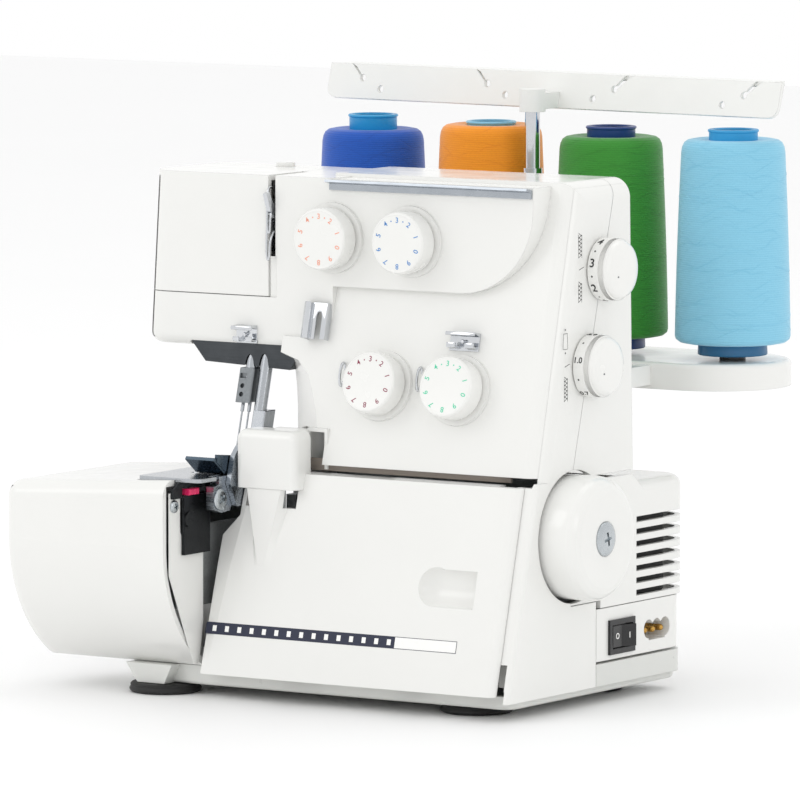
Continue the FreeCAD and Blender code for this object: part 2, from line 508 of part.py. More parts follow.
# ---- controls --------------------------------------------------------------------------------
def build_dials():
    profile = [(2.3, 0), (2.3, DIAL_R), (DIAL_H - 1.4, DIAL_R - 0.5), (DIAL_H, DIAL_R - 2.2), (DIAL_H, 0)]
    for n, (centre, out) in enumerate(dial_places()):
        spindle = rod(V(*centre) - V(*out) * 14, out, 4.2, 16.4)
        save("tension_dial_%d" % (n + 1), fuse(turned(profile, centre, out), spindle))
    discs = []
    for centre, out in dial_places():
        for step in (4.0, 5.4):
            start = V(*centre) - V(*out) * step
            discs.append(rod(start, out, 10.0, 0.8).cut(rod(start - V(*out), out, 4.35, 4)))
    save("tension_discs", *discs)
    side = [(0.4, 0), (0.4, DIAL_R), (7.0, DIAL_R), (7.6, DIAL_R - 1.0), (12.5, DIAL_R - 1.6),
            (14.0, DIAL_R - 3.5), (14.0, 0)]
    for name, centre in zip(("stitch_length_dial", "differential_dial"), side_dial_places()):
        spindle = rod((BODY_RIGHT - 14, centre[1], centre[2]), (1, 0, 0), 4.2, 14.6)
        save(name, fuse(turned(side, centre, (1, 0, 0)), spindle))
    px, py = PRESSURE_SCREW
    screw = cut(rod((px, py, 255), (0, 0, 1), 5.0, 17.6), box(px - 6, px + 6, py - 0.5, py + 0.5, 271.4, 274))
    save("pressure_screw", screw)


def build_drive():
    profile = [(-12, 0), (-12, 31.0), (3, 32.4), (12, 31.6), (17, 29.0), (20, 24.5), (20, 9.3), (18, 9.3), (18, 0)]
    wheel = turned(profile, (BODY_RIGHT, SHAFT_Y, SHAFT_Z), (1, 0, 0))
    wheel = cut(wheel, turned([(-13, 9), (-13, 28.5), (10, 27), (15, 22), (15, 9)],
                              (BODY_RIGHT, SHAFT_Y, SHAFT_Z), (1, 0, 0)),
                rod((BODY_RIGHT - 13, SHAFT_Y, SHAFT_Z), (1, 0, 0), 6.0, 24))
    save("handwheel", wheel)
    cap = cut(turned([(18, 0), (18, 9.0), (20.3, 9.0), (21.0, 8.0), (21.0, 0)], (BODY_RIGHT, SHAFT_Y, SHAFT_Z),
                     (1, 0, 0)),
              *[box(BODY_RIGHT + 19.6, 160, SHAFT_Y - a, SHAFT_Y + a, SHAFT_Z - b, SHAFT_Z + b)
                for a, b in ((0.7, 3.6), (3.6, 0.7))])
    save("handwheel_screw", cap)
    shaft = rod((-42, SHAFT_Y, SHAFT_Z), (1, 0, 0), 6.0, BODY_RIGHT + 11 + 42)
    cams = [rod((x, SHAFT_Y + 3, SHAFT_Z), (1, 0, 0), 11.0, 5) for x in (-24, 4, 40)]
    save("main_shaft", fuse(shaft, *cams))
    save("drive_pulley", toothed(DRIVE_R, 40, 104, SHAFT_Y, SHAFT_Z, 6.0))
    save("motor_pulley", fuse(toothed(MOTOR_R, 10, 104, MOTOR_Y, MOTOR_Z, 0),
                              rod((98.5, MOTOR_Y, MOTOR_Z), (1, 0, 0), 2.5, 12)))
    motor = cut(fuse(rod((40, MOTOR_Y, MOTOR_Z), (1, 0, 0), 21.0, 54), rod((94, MOTOR_Y, MOTOR_Z), (1, 0, 0), 9.0, 4),
                     box(44, 78, MOTOR_Y - 18, MOTOR_Y + 18, TRAY_FOOT + 3, MOTOR_Z)),
                rod((90, MOTOR_Y, MOTOR_Z), (1, 0, 0), 3.0, 20))
    save("motor", motor)
    save("timing_belt", belt_loop())


def toothed(radius, teeth, x, y, z, bore):
    """Timing pulley: a disc with round-bottomed gaps, 6 mm wide, and two flanges."""
    disc = rod((x, y, z), (1, 0, 0), radius, 6)
    flanges = [rod((at, y, z), (1, 0, 0), radius + 2.4, 1.2) for at in (x - 1.2, x + 6)]
    gaps = []
    for n in range(teeth):
        a = 2 * math.pi * n / teeth
        gaps.append(rod((x - 0.01, y + radius * math.cos(a), z + radius * math.sin(a)), (1, 0, 0), 0.75, 6.02))
    body = fuse(disc.cut(Part.makeCompound(gaps)), *flanges)
    return body.cut(rod((x - 5, y, z), (1, 0, 0), bore, 20)) if bore else body


def belt_loop():
    """Flat belt round both pulleys, just clear of them."""
    def loop(extra):
        r1, r2 = DRIVE_R + extra, MOTOR_R + extra
        dy, dz = MOTOR_Y - SHAFT_Y, MOTOR_Z - SHAFT_Z
        gap = math.hypot(dy, dz)
        base, open_angle = math.atan2(dz, dy), math.acos((r1 - r2) / gap)
        def at(y, z, r, a):
            return V(105, y + r * math.cos(a), z + r * math.sin(a))
        up, down = base + open_angle, base - open_angle
        p1, p2 = at(SHAFT_Y, SHAFT_Z, r1, up), at(SHAFT_Y, SHAFT_Z, r1, down)
        q1, q2 = at(MOTOR_Y, MOTOR_Z, r2, up), at(MOTOR_Y, MOTOR_Z, r2, down)
        edges = [Part.Arc(p1, at(SHAFT_Y, SHAFT_Z, r1, base + math.pi), p2), Part.LineSegment(p2, q2),
                 Part.Arc(q2, at(MOTOR_Y, MOTOR_Z, r2, base), q1), Part.LineSegment(q1, p1)]
        return Part.Face(Part.Wire([e.toShape() for e in edges])).extrude(V(4, 0, 0))
    return loop(1.9).cut(loop(0.35))


# ---- sewing mechanism ------------------------------------------------------------------------
def leaning(x, z_low, z_high, radius):
    """A round bar in the needle bars' plane between two heights."""
    start = (x, bar_y(z_low), z_low)
    length = (z_high - z_low) / math.cos(BAR_TILT)
    return rod(start, (0, math.sin(BAR_TILT), math.cos(BAR_TILT)), radius, length)


def leaning_box(x0, x1, y_half_front, y_half_back, z0, z1):
    """A block square to the leaning bars, given by its heights on the bars' plane."""
    outline = [(bar_y(z0) - y_half_front, z0), (bar_y(z1) - y_half_front, z1), (bar_y(z1) + y_half_back, z1),
               (bar_y(z0) + y_half_back, z0)]
    return prism(outline, "x", x0, x1)


def build_needles():
    bar = leaning(NEEDLE_X, 163.0, 254.0, 3.2)
    save("needle_bar", bar)
    clamp = leaning_box(NEEDLE_X - 4.6, NEEDLE_X + 4.6, 4.6, 4.6, 151.0, 169.0)
    clamp = rounded(clamp, 0.8, lambda c, e: not runs(e, 0))
    clamp = cut(clamp, leaning(NEEDLE_X, 162.9, 180, 3.2))
    for z in (160.0, 155.6):                                                   # needle set screws
        clamp = cut(clamp, rod((NEEDLE_X - 1.4, bar_y(z) - 6, z), (0, 1, -0.26), 1.3, 3.4))
    clamp = cut(clamp, box(NEEDLE_X - 3.6, NEEDLE_X + 0.6, bar_y(165) - 6, bar_y(165) - 3.4, 163.6, 166.2))
    for x in (NEEDLE_X - 2.2, NEEDLE_X + 2.0):
        clamp = cut(clamp, leaning(x, 150, 157, 1.05))
    save("needle_clamp", clamp)
    needles = [fuse(leaning(x, 146.0, 157.0, 1.0), leaning(x, 124.5, 146.0, 0.5)) for x in (NEEDLE_X - 2.2, NEEDLE_X + 2.0)]
    save("needles", *needles)


def build_presser():
    bar = leaning(PRESSER_X, 134.0, 240.0, 3.4)
    block = leaning_box(PRESSER_X - 1.0, PRESSER_X + 7.0, 5.5, 4.5, 133.0, 147.5)
    block = rounded(block, 0.8, lambda c, e: not runs(e, 0))
    save("presser_bar", fuse(bar, block))
    y, x0, x1 = bar_y(134), NEEDLE_X - 7.5, PRESSER_X + 1.4
    top = PLATE_TOP + 2.4
    sole = prism([(y - 32, PLATE_TOP + 0.4), (y + 14, PLATE_TOP + 0.4), (y + 14, top), (y - 31, top),
                  (y - 41, PLATE_TOP + 9.5), (y - 42, PLATE_TOP + 8.0)], "x", x0, x1)
    cheek = prism([(y - 39, PLATE_TOP + 7.0), (y - 31.5, top - 0.8), (y - 8, top - 0.8), (y - 14, PLATE_TOP + 8.5),
                   (y - 38.5, PLATE_TOP + 11.0)], "x", x1 - 1.4, x1 + 0.3)
    neck = prism([(y - 7, PLATE_TOP + 2.0), (y + 6, PLATE_TOP + 2.0), (y + 4.5, 133.6), (y - 5.0, 133.6)], "x",
                 PRESSER_X - 3.2, PRESSER_X + 3.1)
    foot = fuse(sole, cheek, neck).cut(bar).cut(block)
    foot = cut(foot, box(NEEDLE_X - 4.2, NEEDLE_X + 4.0, y - 22, y - 2, PLATE_TOP - 1, PLATE_TOP + 4),
               box(x1 - 2.0, x1 + 1, y - 26, y - 20, PLATE_TOP - 1, PLATE_TOP + 2.39))
    save("presser_foot", foot)
    pivot = LIFTER_PIVOT
    lever = fuse(rod((PRESSER_X - 3.5, pivot[0], pivot[1]), (1, 0, 0), 5.0, 7),
                 prism([(pivot[0] - 2, pivot[1] - 4.5), (pivot[0] - 2, pivot[1] + 4.5), (24, 199), (30, 168),
                        (25, 166), (18, 191)], "x", PRESSER_X - 3.5, PRESSER_X + 3.5))
    lever = lever.cut(rod((PRESSER_X - 10, pivot[0], pivot[1]), (1, 0, 0), 2.05, 20))
    save("presser_lifter", lever)


def build_plates():
    plate = box(-86.6, -47.5, -127.6, -50.0, PLATE_TOP - 2.0, PLATE_TOP)
    plate = rounded(plate, 3, lambda c, e: runs(e, 2))
    rows = [-70.5, -66.5, -56.0]
    slots = [box(x - 1.4, x + 1.4, -100.5, -56.5, 110, 120) for x in rows]
    plate = cut(plate, *slots, box(-64.6, -57.6, -76, -69.5, 110, 120), box(-52.6, -43.0, -112, -58, 110, 120))
    save("needle_plate", plate)
    teeth = []
    for x in rows:
        outline = [(-98.0, 110.0), (-98.0, 115.6)]
        for n in range(19):
            outline += [(-98 + 2.0 * n + 0.5, 116.6), (-98 + 2.0 * n + 2.0, 115.6)]
        teeth.append(prism(outline + [(-60.0, 110.0)], "x", x - 0.9, x + 0.9))
    carrier = cut(box(-72.5, -55.0, -97, -61, 106.5, 110.2), box(-65.4, -57.1, -80, -68, 100, 112))
    save("feed_dog", fuse(carrier, *teeth))
    sole = cut(prism([(-98, 181.6), (-89, 171.0), (-36, 168.8), (-27, 181.6)], "y", ARM_FRONT + 1.0, -2),
               prism([(-95, 190), (-86.5, 173.4), (-38, 172.0), (-29.5, 190)], "y", ARM_FRONT + 3.5, -5))
    for x, r in ((NEEDLE_X, 3.3), (PRESSER_X, 3.5)):
        sole = cut(sole, leaning(x, 160, 186, r + 0.5))
    sole = cut(sole, FRONT[0], box(-41, -20, -11, -3, 160, 190))
    save("arm_sole_plate", sole)


def build_bed():
    """The fixed frame inside the side cover, its white end plate, and the knives' black plate behind the gap."""
    frame = cut(box(-148, BED_RIGHT + 1.0, -126, -46, 48, 106), box(-144, BED_RIGHT - 3, -122, -50, 40, 102))
    web = box(BED_RIGHT + 1.0, BED_RIGHT + 4.0, -66, -30, TRAY_FOOT + 3, 104)
    foot = box(BED_RIGHT + 4.0, -52.2, -66, -30, TRAY_FOOT + 3, 22)
    hx, hy = SIDE_HINGE
    arms = [fuse(box(hx - 1, hx + 14, hy - 1.8, hy + 1.8, z, z + 6), box(hx + 8, hx + 14, -50, hy + 1.8, z, z + 6))
            for z in (70, 80)]
    pin = rod((hx, hy, 54), (0, 0, 1), 1.5, 47)
    frame = cut(frame, box(-90, -60, -101, -55, 90, 120))
    save("bed_frame", fuse(frame, web, foot, *arms, pin))
    x = BED_RIGHT + 1.2
    plate = prism([(-128.5, 52), (-135.0, 66), (-135.0, 109.0), (-126.5, 109.0), (-125.0, 107.5), (-125.0, 88.0),
                   (-122.0, 84.5), (-104.0, 84.5), (-104.0, 40), (-107.5, 18), (-112.5, 18.0), (-117.5, 28)], "x",
                  x - 0.2, x + 0.3)
    save("end_plate", plate)
    bracket = cut(prism([(-134, 110), (-129, 114.2), (-100.5, 114.2), (-100.5, 76), (-124.2, 76), (-124.2, 106),
                         (-134, 106.0)], "x", x + 0.6, x + 2.4), box(x, x + 6, -126, -102, 106.9, 111.1),
                  rod((x, -120.5, 94.5), (1, 0, 0), 2.6, 6))
    stud = cut(fuse(rod((x + 0.8, -120.5, 94.5), (1, 0, 0), 2.5, 2.4), rod((x + 2.5, -120.5, 94.5), (1, 0, 0), 4.0, 0.9)),
               box(x, x + 9, -118.5, -110, 90, 92.6))
    save("knife_bracket", bracket, stud)
    knob = rounded(box(x + 0.4, x + 5.2, -123.0, -114.0, 107.3, 110.7), 0.9, lambda c, e: c.x > x + 5)
    save("stitch_finger_knob", knob)
    k = KNIFE_X
    holder = cut(fuse(prism([(-111, 99), (-111, 111), (-97, 113.6), (-92, 104), (-96, 97.5), (-104, 97)], "x",
                            k - 4.6, k),
                      prism([(-106, 104), (-106, 116.0), (-84, 116.0), (-84, 110), (-94, 104)], "x", k - 2.0, k)),
                 *[rod((k - 3, y, z), (1, 0, 0), 1.6, 6) for y, z in ((-106.5, 107.5), (-104.0, 100.8))])
    save("lower_knife", holder)
    knife = fuse(prism([(-94, 99.5), (-100, 112), (-96, 126), (-91, 131), (-85, 131), (-78, 108), (-78, 99.5)], "x",
                       k + 0.2, k + 3.0), box(k + 0.2, -44.5, -80.5, -78, 99.5, 106))
    save("upper_knife", knife)


def build_loopers():
    """Loopers on studs, the round guard behind them and the thread take-up lever."""
    x, z = LOWER_PIVOT
    lower = fuse(rod((x, -72, z), (0, 1, 0), 6.0, 5),
                 prism([(x - 3.5, z), (x + 3.5, z), (x + 3.5, 97), (x - 8, 101), (x - 21, 103.5), (x - 9, 96.5),
                        (x - 3.5, 92)], "y", -72, -68.5))
    save("lower_looper", lower.cut(rod((x, -80, z), (0, 1, 0), 2.05, 20)))
    x, z = UPPER_PIVOT
    upper = fuse(rod((x, -81, z), (0, 1, 0), 6.0, 5),
                 prism([(x - 4, z - 4), (x + 3, z + 4), (-28, 88), (-38, 100), (-43, 104), (-36, 92), (-30, 80)], "y",
                       -81, -77.5))
    save("upper_looper", upper.cut(rod((x, -90, z), (0, 1, 0), 2.05, 20)))
    drum = rod((-41, DRUM_Y, DRUM_Z), (1, 0, 0), DRUM_R, 24).common(box(-60, 0, -80.5, -50, 119.5, 150))
    save("looper_guard", cut(drum, rod((-42, DRUM_Y, DRUM_Z), (1, 0, 0), DRUM_R - 3, 22.8)))
    y, z = TAKE_UP_PIVOT
    lever = fuse(rod((-48.0, y, z), (1, 0, 0), 5.0, 3.2),
                 prism([(y - 2, z - 4), (y - 2, z + 4), (-62, 256), (-66, 262), (-68.5, 261), (-65, 252), (-61, 248)], "x",
                       -47.6, -45.2))
    save("take_up_lever", lever.cut(rod((-60, y, z), (1, 0, 0), 2.05, 30)))


def build_frame():
    """Cast frame: a wall behind the mechanism, bearing lugs, and studs for the levers."""
    wall = cut(box(-40, 92, -10, -4, 16.2, 250), box(-20, 76, -12, -2, 120, 170))
    arm = box(-104, -38, -10, -4, 192, 250)
    floor = fuse(box(-41.8, 92, -72, -4, 16.2, 22), box(-41.8, 76, -72, -4, TRAY_FOOT + 3, 22))
    lugs = [box(x, x + 6, -64, -8, 18, 104) for x in (-36, 86)]
    body = fuse(wall, arm, floor, *lugs)
    zone = box(-90, -30, -80, -6, 0, 300)
    guides = [leaning_box(NEEDLE_X - 9, PRESSER_X + 7, 5, 50, z, z + 7).common(zone) for z in (190, 222)]
    body = fuse(body, *guides)
    body = cut(body, rod((-50, SHAFT_Y, SHAFT_Z), (1, 0, 0), 6.05, 160), leaning(NEEDLE_X, 150, 270, 3.25),
               leaning(PRESSER_X, 150, 260, 3.45))
    studs = [rod((x, -73, z), (0, 1, 0), 2.0, 20) for x, z in (LOWER_PIVOT,)]
    studs += [rod((x, -82, z), (0, 1, 0), 2.0, 76) for x, z in (UPPER_PIVOT,)]
    x, z = LOWER_PIVOT
    body = fuse(body, box(x - 5, -38, -66, -44.6, TRAY_FOOT + 3, 50), *studs)
    ty, tz = TAKE_UP_PIVOT
    ly, lz = LIFTER_PIVOT
    body = fuse(body, box(-42.5, -36, ty - 4, -6, tz - 5, tz + 5), rod((-49, ty, tz), (1, 0, 0), 2.0, 10),
                box(-47, -38, -8, ly + 1.8, lz - 3.5, lz + 3.5), rod((-57, ly, lz), (1, 0, 0), 2.0, 15))
    body = cut(body, box(-49, -43.9, ty - 8, ty + 8, tz - 8, tz + 8).cut(rod((-50, ty, tz), (1, 0, 0), 2.0, 20)),
               box(-46, THROAT_SIDE[0] + WALL + 0.6, -80, 10, 119, 187.5))
    save("chassis_frame", body)


def build_thread_guides():
    strip = prism([(PANEL_Y - 0.1, 269.0), (PANEL_Y - 5.5, 270.1), (PANEL_Y - 6.0, 268.9), (PANEL_Y - 1.3, 267.7),
                   (PANEL_Y - 1.3, 264.5), (PANEL_Y - 0.1, 264.5)], "x", -9.5, 114.5)
    for x in (-3.5, 6.5, 36.5, 48.5, 74.5, 86.5, 98.5, 108.5):
        strip = cut(strip, rod((x, PANEL_Y - 3.6, 260), (0, 0, 1), 0.9, 12))
    save("guide_strip", strip)
    small = []
    for x, y, z, w in ((-62.0, ARM_FRONT, 190.0, 13.0), (75.0, face_y(193), 193.0, 17.0)):
        plate = prism([(y - 0.1, z + 5), (y - 6.5, z + 4.6), (y - 7.2, z + 2.6), (y - 6.2, z + 2.0), (y - 1.6, z + 3.2),
                       (y - 1.6, z - 5), (y - 0.1, z - 5)], "x", x - w / 2, x + w / 2)
        hook = prism([(y - 1.5, z - 4.5), (y - 5.5, z - 3.5), (y - 5.5, z - 2.0), (y - 1.5, z - 2.6)], "x", x - w / 2, x + w / 2)
        plate = cut(fuse(plate, hook), box(x - 1.2, x + 1.2, y - 9, y - 1.7, z - 6, z + 0))
        small.append(plate.cut(front_solid_part()))
    for x in (3.0, 50.5):
        small.append(box(x - 1.3, x + 1.3, face_y(169) - 4.0, face_y(169) + 6, 162.5, 176).cut(front_solid_part()))
    x, z = -15.0, 195.0
    y = face_y(z) - 6.0
    channel = cut(box(x - 6.5, x + 6.5, y - 5.5, y + 4.5, z - 10, z + 10),
                  box(x - 3.5, x + 7.5, y - 4.2, y + 1.5, z - 12, z + 12),
                  box(x - 5.3, x - 3.4, y - 6, y + 1.5, z - 12, z + 12))
    save("small_thread_guides", *small, channel.cut(front_solid_part()))


def front_solid_part():
    return FRONT[0]


FRONT = []


def build_screws():
    """Pan-head screws: one in the end plate, two in the knife holder, one in the presser bar's collar."""
    heads = []
    for start, out, r in (((BED_RIGHT + 1.5, -131.0, 102.0), (1, 0, 0), 3.4), ((KNIFE_X, -106.5, 107.5), (1, 0, 0), 2.4),
                          ((KNIFE_X, -104.0, 100.8), (1, 0, 0), 2.4)):
        head = turned([(0, 0), (0, r), (1.0, r * 0.92), (1.7, r * 0.6), (1.7, 0)], start, out)
        cross = [box(start[0] + 0.9, start[0] + 3, start[1] - a, start[1] + a, start[2] - b, start[2] + b)
                 for a, b in ((0.35, r * 0.6), (r * 0.6, 0.35))]
        heads.append(cut(head, *cross))
    save("cover_screws", *heads)


def main():
    os.makedirs("parts", exist_ok=True)
    FRONT.append(upper_body(0))
    build_upper_covers()
    build_belt_cover()
    build_terminal_box()
    build_switch()
    build_base()
    build_side_cover()
    build_looper_cover()
    save("hinge_rod", rod((-44, HINGE_Y, HINGE_Z), (1, 0, 0), 1.5, 149))
    build_stand()
    build_cones()
    build_dials()
    build_drive()
    build_needles()
    build_presser()
    build_plates()
    build_bed()
    build_loopers()
    build_frame()
    build_thread_guides()
    build_screws()


main()
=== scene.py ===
"""Looks of a four-thread overlock machine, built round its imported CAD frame.

The frame brings the covers, shafts, levers and plates. This script gives each of them its finish,
and models the pieces whose detail is finer than the frame's: dials and their figures, the
handwheel, the wound cones, thread guides, screws, switch, labels and marks.
Lengths are written in millimetres and turned into Blender's metres by MM.
"""

from __future__ import annotations

import json
import logging
import math
import random
from contextlib import contextmanager
from dataclasses import dataclass
from enum import Enum
from typing import Callable, Iterator, Sequence

import bpy
from mathutils import Matrix, Vector

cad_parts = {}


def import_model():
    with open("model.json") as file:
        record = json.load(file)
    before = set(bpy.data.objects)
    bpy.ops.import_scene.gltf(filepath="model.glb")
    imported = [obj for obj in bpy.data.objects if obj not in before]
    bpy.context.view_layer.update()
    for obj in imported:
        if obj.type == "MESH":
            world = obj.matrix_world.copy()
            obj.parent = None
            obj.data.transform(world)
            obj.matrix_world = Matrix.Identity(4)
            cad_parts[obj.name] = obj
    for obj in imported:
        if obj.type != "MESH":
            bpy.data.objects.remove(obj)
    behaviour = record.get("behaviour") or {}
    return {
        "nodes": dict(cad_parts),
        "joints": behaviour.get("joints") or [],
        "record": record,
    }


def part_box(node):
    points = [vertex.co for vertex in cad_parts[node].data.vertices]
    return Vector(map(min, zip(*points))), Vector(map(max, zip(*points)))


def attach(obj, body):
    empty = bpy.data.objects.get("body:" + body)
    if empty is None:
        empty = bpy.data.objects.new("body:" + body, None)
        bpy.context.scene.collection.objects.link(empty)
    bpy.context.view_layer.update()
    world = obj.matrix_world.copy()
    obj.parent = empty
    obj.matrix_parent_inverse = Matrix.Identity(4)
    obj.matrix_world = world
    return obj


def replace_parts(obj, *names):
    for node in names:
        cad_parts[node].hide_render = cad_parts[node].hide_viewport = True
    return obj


MM = 0.001
log = logging.getLogger("overlock")

Point = tuple[float, float]
Test = Callable[[Vector, Vector], bool]


# ---- colour and nodes ------------------------------------------------------------------------
def linear(colour: str) -> tuple[float, float, float, float]:
    """Turns an sRGB hex colour into the linear RGBA that shaders take.

    Args:
        colour: six hex digits after a hash.

    Returns:
        Linear red, green, blue and an alpha of 1.
    """
    parts = [int(colour[i : i + 2], 16) / 255 for i in (1, 3, 5)]
    flat = [c / 12.92 if c <= 0.04045 else ((c + 0.055) / 1.055) ** 2.4 for c in parts]
    return (*flat, 1.0)


def add_node(tree: bpy.types.NodeTree, kind: str, inputs: dict | None = None, **settings) -> bpy.types.Node:
    """Adds a node, sets its properties, and fills or links its inputs.

    Args:
        tree: the node tree that takes the node.
        kind: the node's type name, such as ShaderNodeBump.
        inputs: socket name or number to a value, or to the output socket that feeds it.
        **settings: properties of the node itself.

    Returns:
        The new node.
    """
    node = tree.nodes.new(kind)
    for name, value in settings.items():
        setattr(node, name, value)
    for socket, value in (inputs or {}).items():
        if isinstance(value, bpy.types.NodeSocket):
            tree.links.new(value, node.inputs[socket])
        else:
            node.inputs[socket].default_value = value
    return node


def blank_material(name: str) -> tuple[bpy.types.Material, bpy.types.NodeTree, bpy.types.NodeSocket]:
    """Starts a material.

    Args:
        name: the material's name.

    Returns:
        The material, its emptied node tree, and the object coordinates socket.
    """
    material = bpy.data.materials.new(name)
    material.use_nodes = True
    tree = material.node_tree
    tree.nodes.clear()
    return material, tree, add_node(tree, "ShaderNodeTexCoord").outputs["Object"]


def noise(
    tree: bpy.types.NodeTree, where: bpy.types.NodeSocket, size_mm: float, detail: float = 3.0
) -> bpy.types.NodeSocket:
    """Adds soft noise whose blotches are size_mm across, and gives its value socket."""
    scale = 1 / (size_mm * MM)
    settings = {"Vector": where, "Scale": scale, "Detail": detail}
    return add_node(tree, "ShaderNodeTexNoise", settings).outputs["Fac"]


def spread(
    tree: bpy.types.NodeTree, value: bpy.types.NodeSocket, low: float, high: float
) -> bpy.types.NodeSocket:
    """Maps the middle of a noise value onto the range low to high, and gives the socket."""
    return add_node(
        tree,
        "ShaderNodeMapRange",
        {"Value": value, "From Min": 0.3, "From Max": 0.7, "To Min": low, "To Max": high},
    ).outputs["Result"]


def two_tone(
    tree: bpy.types.NodeTree, value: bpy.types.NodeSocket, first: str, second: str
) -> bpy.types.NodeSocket:
    """Mixes two hex colours by a value, and gives the colour socket."""
    return add_node(
        tree,
        "ShaderNodeMix",
        {"Factor": value, "A": linear(first), "B": linear(second)},
        data_type="RGBA",
    ).outputs["Result"]


# ---- finishes ----------------------------------------------------------------------------------
@dataclass(frozen=True)
class MouldedPlastic:
    """Injection-moulded ABS: clear gloss over a faint orange peel, so highlights have soft, wavy rims."""

    name: str
    colour: str
    shade: str
    roughness: float = 0.2
    ior: float = 1.54
    peel_mm: float = 2.4
    peel_depth_mm: float = 0.012
    edge_mm: float = 0.55

    def make(self) -> bpy.types.Material:
        """Builds the material."""
        material, tree, where = blank_material(self.name)
        tone = two_tone(tree, noise(tree, where, 45.0), self.colour, self.shade)
        # wiping leaves patches that are a little duller, about a finger wide
        rough = spread(tree, noise(tree, where, 14.0, 4.0), self.roughness * 0.85, self.roughness * 1.3)
        # the mould's own texture is a few hundredths of a millimetre; drawn wider so that it shows
        edge = add_node(tree, "ShaderNodeBevel", {"Radius": self.edge_mm * MM}, samples=4)
        peel = add_node(
            tree,
            "ShaderNodeBump",
            {
                "Strength": 0.35,
                "Distance": self.peel_depth_mm * MM,
                "Height": noise(tree, where, self.peel_mm, 2.0),
                "Normal": edge.outputs["Normal"],
            },
        )
        shader = add_node(
            tree,
            "ShaderNodeBsdfPrincipled",
            {"Base Color": tone, "Roughness": rough, "IOR": self.ior, "Normal": peel.outputs["Normal"]},
        )
        add_node(tree, "ShaderNodeOutputMaterial", {"Surface": shader.outputs["BSDF"]})
        return material


class Grain(Enum):
    """How a metal surface was made, as the stretch of its scratch pattern along X, Y and Z."""

    POLISHED = (1.0, 1.0, 1.0)
    BRUSHED_ALONG_X = (0.06, 1.0, 1.0)
    GROUND_ALONG_Z = (1.0, 1.0, 0.08)
    CAST = (1.2, 1.2, 1.2)


@dataclass(frozen=True)
class WorkedMetal:
    """Steel, zinc, brass or alloy: a tinted mirror blurred by the scratches of its last operation."""

    name: str
    colour: str
    shade: str
    roughness: float
    grain: Grain
    scratch_mm: float = 0.7
    depth_mm: float = 0.008
    metallic: float = 1.0

    def make(self) -> bpy.types.Material:
        """Builds the material."""
        material, tree, where = blank_material(self.name)
        stretch = {"Vector": where, "Scale": self.grain.value}
        drawn = add_node(tree, "ShaderNodeMapping", stretch).outputs["Vector"]
        marks = noise(tree, drawn, self.scratch_mm, 4.0)
        tone = two_tone(tree, noise(tree, where, 9.0), self.colour, self.shade)
        rough = spread(tree, marks, self.roughness * 0.7, self.roughness * 1.4)
        bump = add_node(
            tree, "ShaderNodeBump", {"Strength": 0.5, "Distance": self.depth_mm * MM, "Height": marks}
        )
        shader = add_node(
            tree,
            "ShaderNodeBsdfPrincipled",
            {
                "Base Color": tone,
                "Roughness": rough,
                "Metallic": self.metallic,
                "Normal": bump.outputs["Normal"],
            },
        )
        add_node(tree, "ShaderNodeOutputMaterial", {"Surface": shader.outputs["BSDF"]})
        return material


@dataclass(frozen=True)
class Rubber:
    """Moulded or belt rubber: dull and dark, with a fine dusty grain that lifts the grazing light."""

    name: str
    colour: str
    dust: str
    roughness: float = 0.62

    def make(self) -> bpy.types.Material:
        """Builds the material."""
        material, tree, where = blank_material(self.name)
        tone = two_tone(tree, noise(tree, where, 6.0, 5.0), self.colour, self.dust)
        bump = add_node(
            tree,
            "ShaderNodeBump",
            {"Strength": 0.4, "Distance": 0.03 * MM, "Height": noise(tree, where, 0.8)},
        )
        shader = add_node(
            tree,
            "ShaderNodeBsdfPrincipled",
            {"Base Color": tone, "Roughness": self.roughness, "IOR": 1.52, "Normal": bump.outputs["Normal"]},
        )
        add_node(tree, "ShaderNodeOutputMaterial", {"Surface": shader.outputs["BSDF"]})
        return material


@dataclass(frozen=True)
class PadPrint:
    """Pad-printed ink or label film: a thin dense colour with slightly uneven cover."""

    name: str
    colour: str
    thin: str
    roughness: float = 0.45

    def make(self) -> bpy.types.Material:
        """Builds the material."""
        material, tree, where = blank_material(self.name)
        tone = two_tone(tree, noise(tree, where, 1.6), self.colour, self.thin)
        shader = add_node(
            tree, "ShaderNodeBsdfPrincipled", {"Base Color": tone, "Roughness": self.roughness, "IOR": 1.5}
        )
        add_node(tree, "ShaderNodeOutputMaterial", {"Surface": shader.outputs["BSDF"]})
        return material


